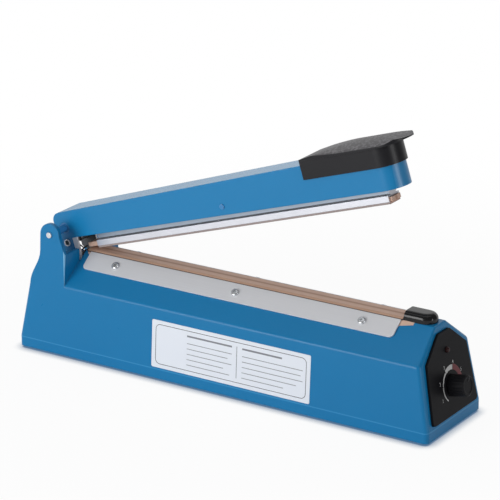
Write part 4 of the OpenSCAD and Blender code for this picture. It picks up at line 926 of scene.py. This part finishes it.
# %% Knob
KNOB_R, KNOB_H, KNOB_LIFT, FLUTES, SIDES = 9 * MM, 13.4 * MM, 0.6 * MM, 22, 6
turned_up = Matrix(((0, 0, 1, 0), (1, 0, 0, 0), (0, 1, 0, 0), (0, 0, 0, 1)))
dial_place = end_place @ moved(2.2, 0, 26) @ turned_up
knob = start_from(bpy.ops.mesh.primitive_cylinder_add, Matrix.Translation((0, 0, KNOB_LIFT + KNOB_H / 2)),
                  vertices=FLUTES * SIDES, radius=KNOB_R, depth=KNOB_H)
pick(knob, "VERT", lambda p: p.z > 10 * MM)
draw_in(0.95)
pick(knob, "FACE", lambda c, n: n.z > 0.9)
for draw, rise in ((0.8, 0.6), (1.4, 0), (0.3, -0.35)):
    bpy.ops.mesh.inset(thickness=draw * MM)
    bpy.ops.transform.translate(value=(0, 0, rise * MM))
pick(knob, "FACE", lambda c, n: n.z < -0.9)
bpy.ops.mesh.inset(thickness=2 * MM)
extrude(z=3 * MM)
pick(knob, "FACE", lambda c, n: abs(n.z) < 0.2 and math.hypot(c.x, c.y) > 8 * MM)
bpy.ops.mesh.bisect(plane_co=(0, 0, 3.4 * MM), plane_no=(0, 0, 1))
pick(knob, "VERT", lambda p: p.z > 4 * MM and math.hypot(p.x, p.y) > 8.3 * MM
     and round(math.atan2(p.y, p.x) / math.tau * FLUTES * SIDES) % SIDES in (0, 1))
draw_in(0.95)
outward(knob)
smooth(knob, 28)
set_on(knob, dial_place)
settle(knob, "fluted_knob", "black_plastic", "timer", "timer_knob", finish="panel_black")

# %% Line on the knob
line = start_from(bpy.ops.mesh.primitive_cube_add, spun(-30) @ moved(0, 5.6, 14.45) @ sized(0.9, 4.2, 0.4))
add_modifier(line, "BEVEL", width=0.12 * MM, segments=2)
set_on(line, dial_place)
settle(line, "knob_line", "black_plastic", "timer", finish="knob_grey")

# %% [markdown]
# ## Dial
# The panel is printed with a band that grows wider with the sealing time: white for thin film and red for
# thick, with plain figures from 1 to 6 round it. A short strip is spun round the knob's axis for each part
# of the band. The figures are text turned into mesh before it is set on the panel.

# %% Bands of the dial
PRINT_LIFT, BAND_T = 0.02, 0.06


def band(inner, outer, first, last, grow=0.0):
    """A flat ring section that may widen outwards; angles run clockwise from straight up."""
    middle, sweep = (inner + outer) / 2, math.radians(last - first)
    piece = start_from(bpy.ops.mesh.primitive_plane_add,
                       moved(0, middle, PRINT_LIFT) @ sized(0.1, outer - inner))
    pick(piece, "EDGE", lambda a, b: a.x > 0 and b.x > 0)
    steps = max(3, round((last - first) / 4))
    bpy.ops.mesh.spin(steps=steps, angle=sweep, center=(0, 0, 0), axis=(0, 0, 1))
    for step in range(steps + 1 if grow else 0):
        ray = sweep * step / steps
        pick(piece, "VERT", lambda p: p.length > middle * MM and abs(math.atan2(p.x, p.y) - ray) < 0.01)
        draw_in(1 + grow / outer * step / steps)
    thicken(piece, BAND_T)
    outward(piece)
    set_on(piece, dial_place @ spun(-first))
    return piece


white_band = join([
    band(12.8, 13.7, -140, -80, 0.2), band(12.8, 13.9, -78, -30, 1.0), band(12.5, 16.0, -27, 17, 0.6)])
settle(white_band, "dial_white_band", "label_white", "base", finish="dial_white")
settle(band(12.4, 17, 19, 80), "dial_red_band", "label_white", "base", finish="dial_red")

# %% Figures of the dial
FIGURE_R, FIGURE_H = 18.4, 4.4
figures = []
for number, angle in enumerate((-115, -70, -25, 20, 65, 110), start=1):
    bpy.ops.object.select_all(action="DESELECT")
    bpy.ops.object.text_add()
    figure = bpy.context.object
    figure.data.body = str(number)
    figure.data.size = FIGURE_H * MM
    figure.data.align_x, figure.data.align_y = "CENTER", "CENTER"
    figure.data.extrude = 0.03 * MM
    bpy.ops.object.convert(target="MESH")
    ray = math.radians(angle)
    set_on(figure, dial_place @ moved(math.sin(ray) * FIGURE_R, math.cos(ray) * FIGURE_R, PRINT_LIFT))
    figures.append(figure)
settle(join(figures), "dial_figures", "label_white", "base", finish="dial_white")

# %% [markdown]
# ## Label
# The white plate on the front carries no words here: only a thin rounded border, a divider and plain ruled
# lines. The border is a plane with rounded corners, inset once, with its middle taken away.

# %% Label border and rules
INK_T = 0.04
standing = Matrix(((1, 0, 0, 0), (0, 0, -1, 0), (0, 1, 0, 0), (0, 0, 0, 1)))


def frame_line(width, height, corner, thick):
    """A rounded rectangular line, lying flat round the origin."""
    piece = start_from(bpy.ops.mesh.primitive_plane_add, sized(width, height))
    pick(piece, "VERT", lambda p: True)
    bpy.ops.mesh.bevel(offset=corner * MM, segments=6, affect="VERTICES")
    pick(piece, "FACE", lambda c, n: True)
    bpy.ops.mesh.inset(thickness=thick * MM)
    bpy.ops.mesh.delete(type="FACE")
    thicken(piece, INK_T)
    return piece


def rule(x, y, length, thick):
    """A straight line that starts at x."""
    piece = start_from(bpy.ops.mesh.primitive_plane_add, moved(x + length / 2, y, 0) @ sized(length, thick))
    pick(piece, "EDGE", lambda a, b: abs(a.x - b.x) > abs(a.y - b.y))
    bpy.ops.mesh.subdivide(number_cuts=3)
    thicken(piece, INK_T)
    return piece


def print_on_label(parts, name, finish):
    piece = join(parts)
    set_on(piece, side_place @ moved(215, -0.07, 22) @ standing)
    outward(piece)
    settle(piece, name, "label_white", "base", finish=finish)


print_on_label([frame_line(146.5, 34.5, 4.5, 0.45), rule(6.6, 0, 0.4, 27)], "label_border", "print_black")
columns = ((-42, 44, (44, 40, 44, 36, 42)), (12, 38, (58, 56, 58, 52, 40)))
rules = [rule(x, 12.5, heading, 1.5) for x, heading, rows in columns]
for row in range(5):
    rules += [rule(x, 6.2 - 4.6 * row, rows[row], 0.55) for x, heading, rows in columns]
print_on_label(rules, "label_rules", "print_grey")

# %% [markdown]
# ## Press bar
# A drawn bar with a flange below and a narrower rib above. Under the arm the rib lies in shade, so the copy
# paints that shade with a darker alloy on the rib and a dark steel line along the groove above the flange,
# and keeps the bright finish on the flange only. Its faces are chosen by their height.

# %% Press bar
bar = worked_copy("press_profile")
set_on(bar, arm_place.inverted())
# Painted shade: a darker alloy on the rib, a dark steel line along the groove.
for finish, low, high in (("shaded_alloy", -15.7, 10), ("painted_shade_steel", -15.75, -14.75)):
    shaded = pick(bar, "FACE", lambda c, n: low * MM < c.z < high * MM and abs(n.z) < 0.9)
    paint_picked(bar, finish)
    print("faces in", finish, shaded)
set_on(bar, arm_place)
smooth(bar, 30)
settle(bar, "press_bar", "alloy", "press_bar", "press_profile")

# %% [markdown]
# ## Hinge pin
# The hinge pin shows its bright ends on both ears. A small bevel turns its heads into low domes.

# %% Hinge pin
pin = rounded_copy("hinge_pin", 0.6, 4, 50)
smooth(pin, 40)
settle(pin, "hinge_axle", "bright_steel", "base", "hinge_pin")

# %% [markdown]
# ## Hinge bracket
# A folded steel bracket carries the arm on the pin. Its outer faces have the arm's paint, up to a line near
# the right end, and the rest is clean steel. The inner faces look into a dark hollow, so the copy paints
# their shade with a dark steel on the faces that point to the middle of the machine or down. A bisect
# draws the line where the paint ends.

# %% Hinge bracket
bracket = worked_copy("hinge_bracket", 0.1)
set_on(bracket, arm_place.inverted())
paint_end = 3.5 * MM
pick(bracket, "FACE", lambda c, n: True)
bpy.ops.mesh.bisect(plane_co=(paint_end, 0, 0), plane_no=(1, 0, 0))
# Dark steel on the inner and downward faces: painted shade.
inner = pick(bracket, "FACE", lambda c, n: n.y * c.y < -0.5 * abs(c.y) or n.z < -0.7)
paint_picked(bracket, "painted_shade_steel")
# The outer faces get the arm's blue, which is painted a little paler as light.
sides = pick(bracket, "FACE", lambda c, n: n.y * c.y > 0.9 * abs(c.y) and c.x < paint_end)
paint_picked(bracket, "arm_blue_painted_lighter")
set_on(bracket, arm_place)
print("inner faces of the bracket:", inner, "painted faces:", sides)
smooth(bracket, 30)
settle(bracket, "arm_bracket", "sheet_steel", "arm", "hinge_bracket")

# %% [markdown]
# ## Transformer coil
# The coil fills the windows of the iron core. Wire wound on a square former has round corners, and its
# outer layer shows as fine level lines. The copy's edges are rounded, and the finish draws the lines.

# %% Transformer coil
coil = rounded_copy("transformer_coil", 1.6, 4, 50)
smooth(coil, 40)
settle(coil, "wound_coil", "winding", "base", "transformer_coil")

# %% [markdown]
# ## Springs
# A pull spring inside the housing opens the arm, and two push springs under the arm's roof hold the press
# bar down. The points of each helix go into a curve with a round section, and the curve becomes a mesh. The
# pull spring runs from the arm's tail to its anchor in the housing, and the push springs stand between the
# bar and the arm's roof.

# %% Wire along a line of points
def wire(points, radius):
    line = bpy.data.curves.new("wire", "CURVE")
    line.dimensions = "3D"
    line.bevel_depth = radius
    line.bevel_resolution = 4
    line.use_fill_caps = True
    spline = line.splines.new("POLY")
    spline.points.add(len(points) - 1)
    for point, co in zip(spline.points, points):
        point.co = (*co, 1)
    piece = bpy.data.objects.new("wire", line)
    bpy.context.scene.collection.objects.link(piece)
    hold(piece)
    bpy.ops.object.convert(target="MESH")
    smooth(piece, 50)
    return piece


# %% Pull spring between the arm's tail and the housing
HOOK_STEPS, HOOK_TURN, COIL_STEPS, LEAD = 24, 240, 28, 1.0


def pull_spring_points(a, b, coil_r, wire_d, turns, pin_a, pin_b):
    """Hook round the first pin, a short run-in, the turns, a run-out, and a hook round the second pin."""
    along = (b - a).normalized()
    aside = Vector((0, 1, 0))
    out = aside.cross(along)
    start, stop = pin_a / 2 + wire_d + MM, (b - a).length - pin_b / 2 - wire_d - MM
    points = []
    for i in range(HOOK_STEPS + 1):
        angle = math.radians(90 + HOOK_TURN * (1 - i / HOOK_STEPS))
        points.append(a + coil_r * (math.cos(angle) * along + math.sin(angle) * out))
    steps = COIL_STEPS * turns
    for i in range(steps + 1):
        t = i / steps
        ease = start + coil_r + (stop - start - 2 * coil_r) * t
        angle = LEAD + (math.tau * turns - 2 * LEAD) * t
        points.append(a + ease * along + coil_r * (math.cos(angle) * out + math.sin(angle) * aside))
    for i in range(HOOK_STEPS + 1):
        angle = math.radians(90 + HOOK_TURN * i / HOOK_STEPS)
        points.append(b + coil_r * (-math.cos(angle) * along + math.sin(angle) * out))
    return points


hook_pin = arm_place @ (Vector((-2.8, 0, -13.2)) * MM)
anchor = at(58, 0, 56)
pull = wire(pull_spring_points(hook_pin, anchor, 3.95 * MM, 1.3 * MM, 9, 6 * MM, 4 * MM), 0.65 * MM)
# Dark steel on the pull spring: painted shade inside the housing.
settle(pull, "pull_spring", "bright_steel", None, "return_spring", finish="painted_shade_steel")
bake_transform(pull)

# %% Push springs under the arm's roof
PUSH_R, PUSH_WIRE_R, PUSH_TURNS, PUSH_GAP = 4.45, 0.55, 7, 0.3
BAR_TOP, ROOF_UNDER = -10.8, 11.8 - 10 * ROOF_RISE


def push_spring(x, name):
    low = BAR_TOP + PUSH_GAP + PUSH_WIRE_R
    high = ROOF_UNDER + x * ROOF_RISE - PUSH_GAP - PUSH_WIRE_R
    steps = COIL_STEPS * PUSH_TURNS
    points = []
    for i in range(steps + 1):
        angle, z = math.tau * PUSH_TURNS * i / steps, low + (high - low) * i / steps
        points.append(Vector((x + PUSH_R * math.cos(angle), PUSH_R * math.sin(angle), z)) * MM)
    piece = wire([arm_place @ p for p in points], PUSH_WIRE_R * MM)
    settle(piece, name, "bright_steel", "arm", "float_springs")
    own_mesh(piece)


push_spring(88, "push_spring_left")
push_spring(258, "push_spring_right")
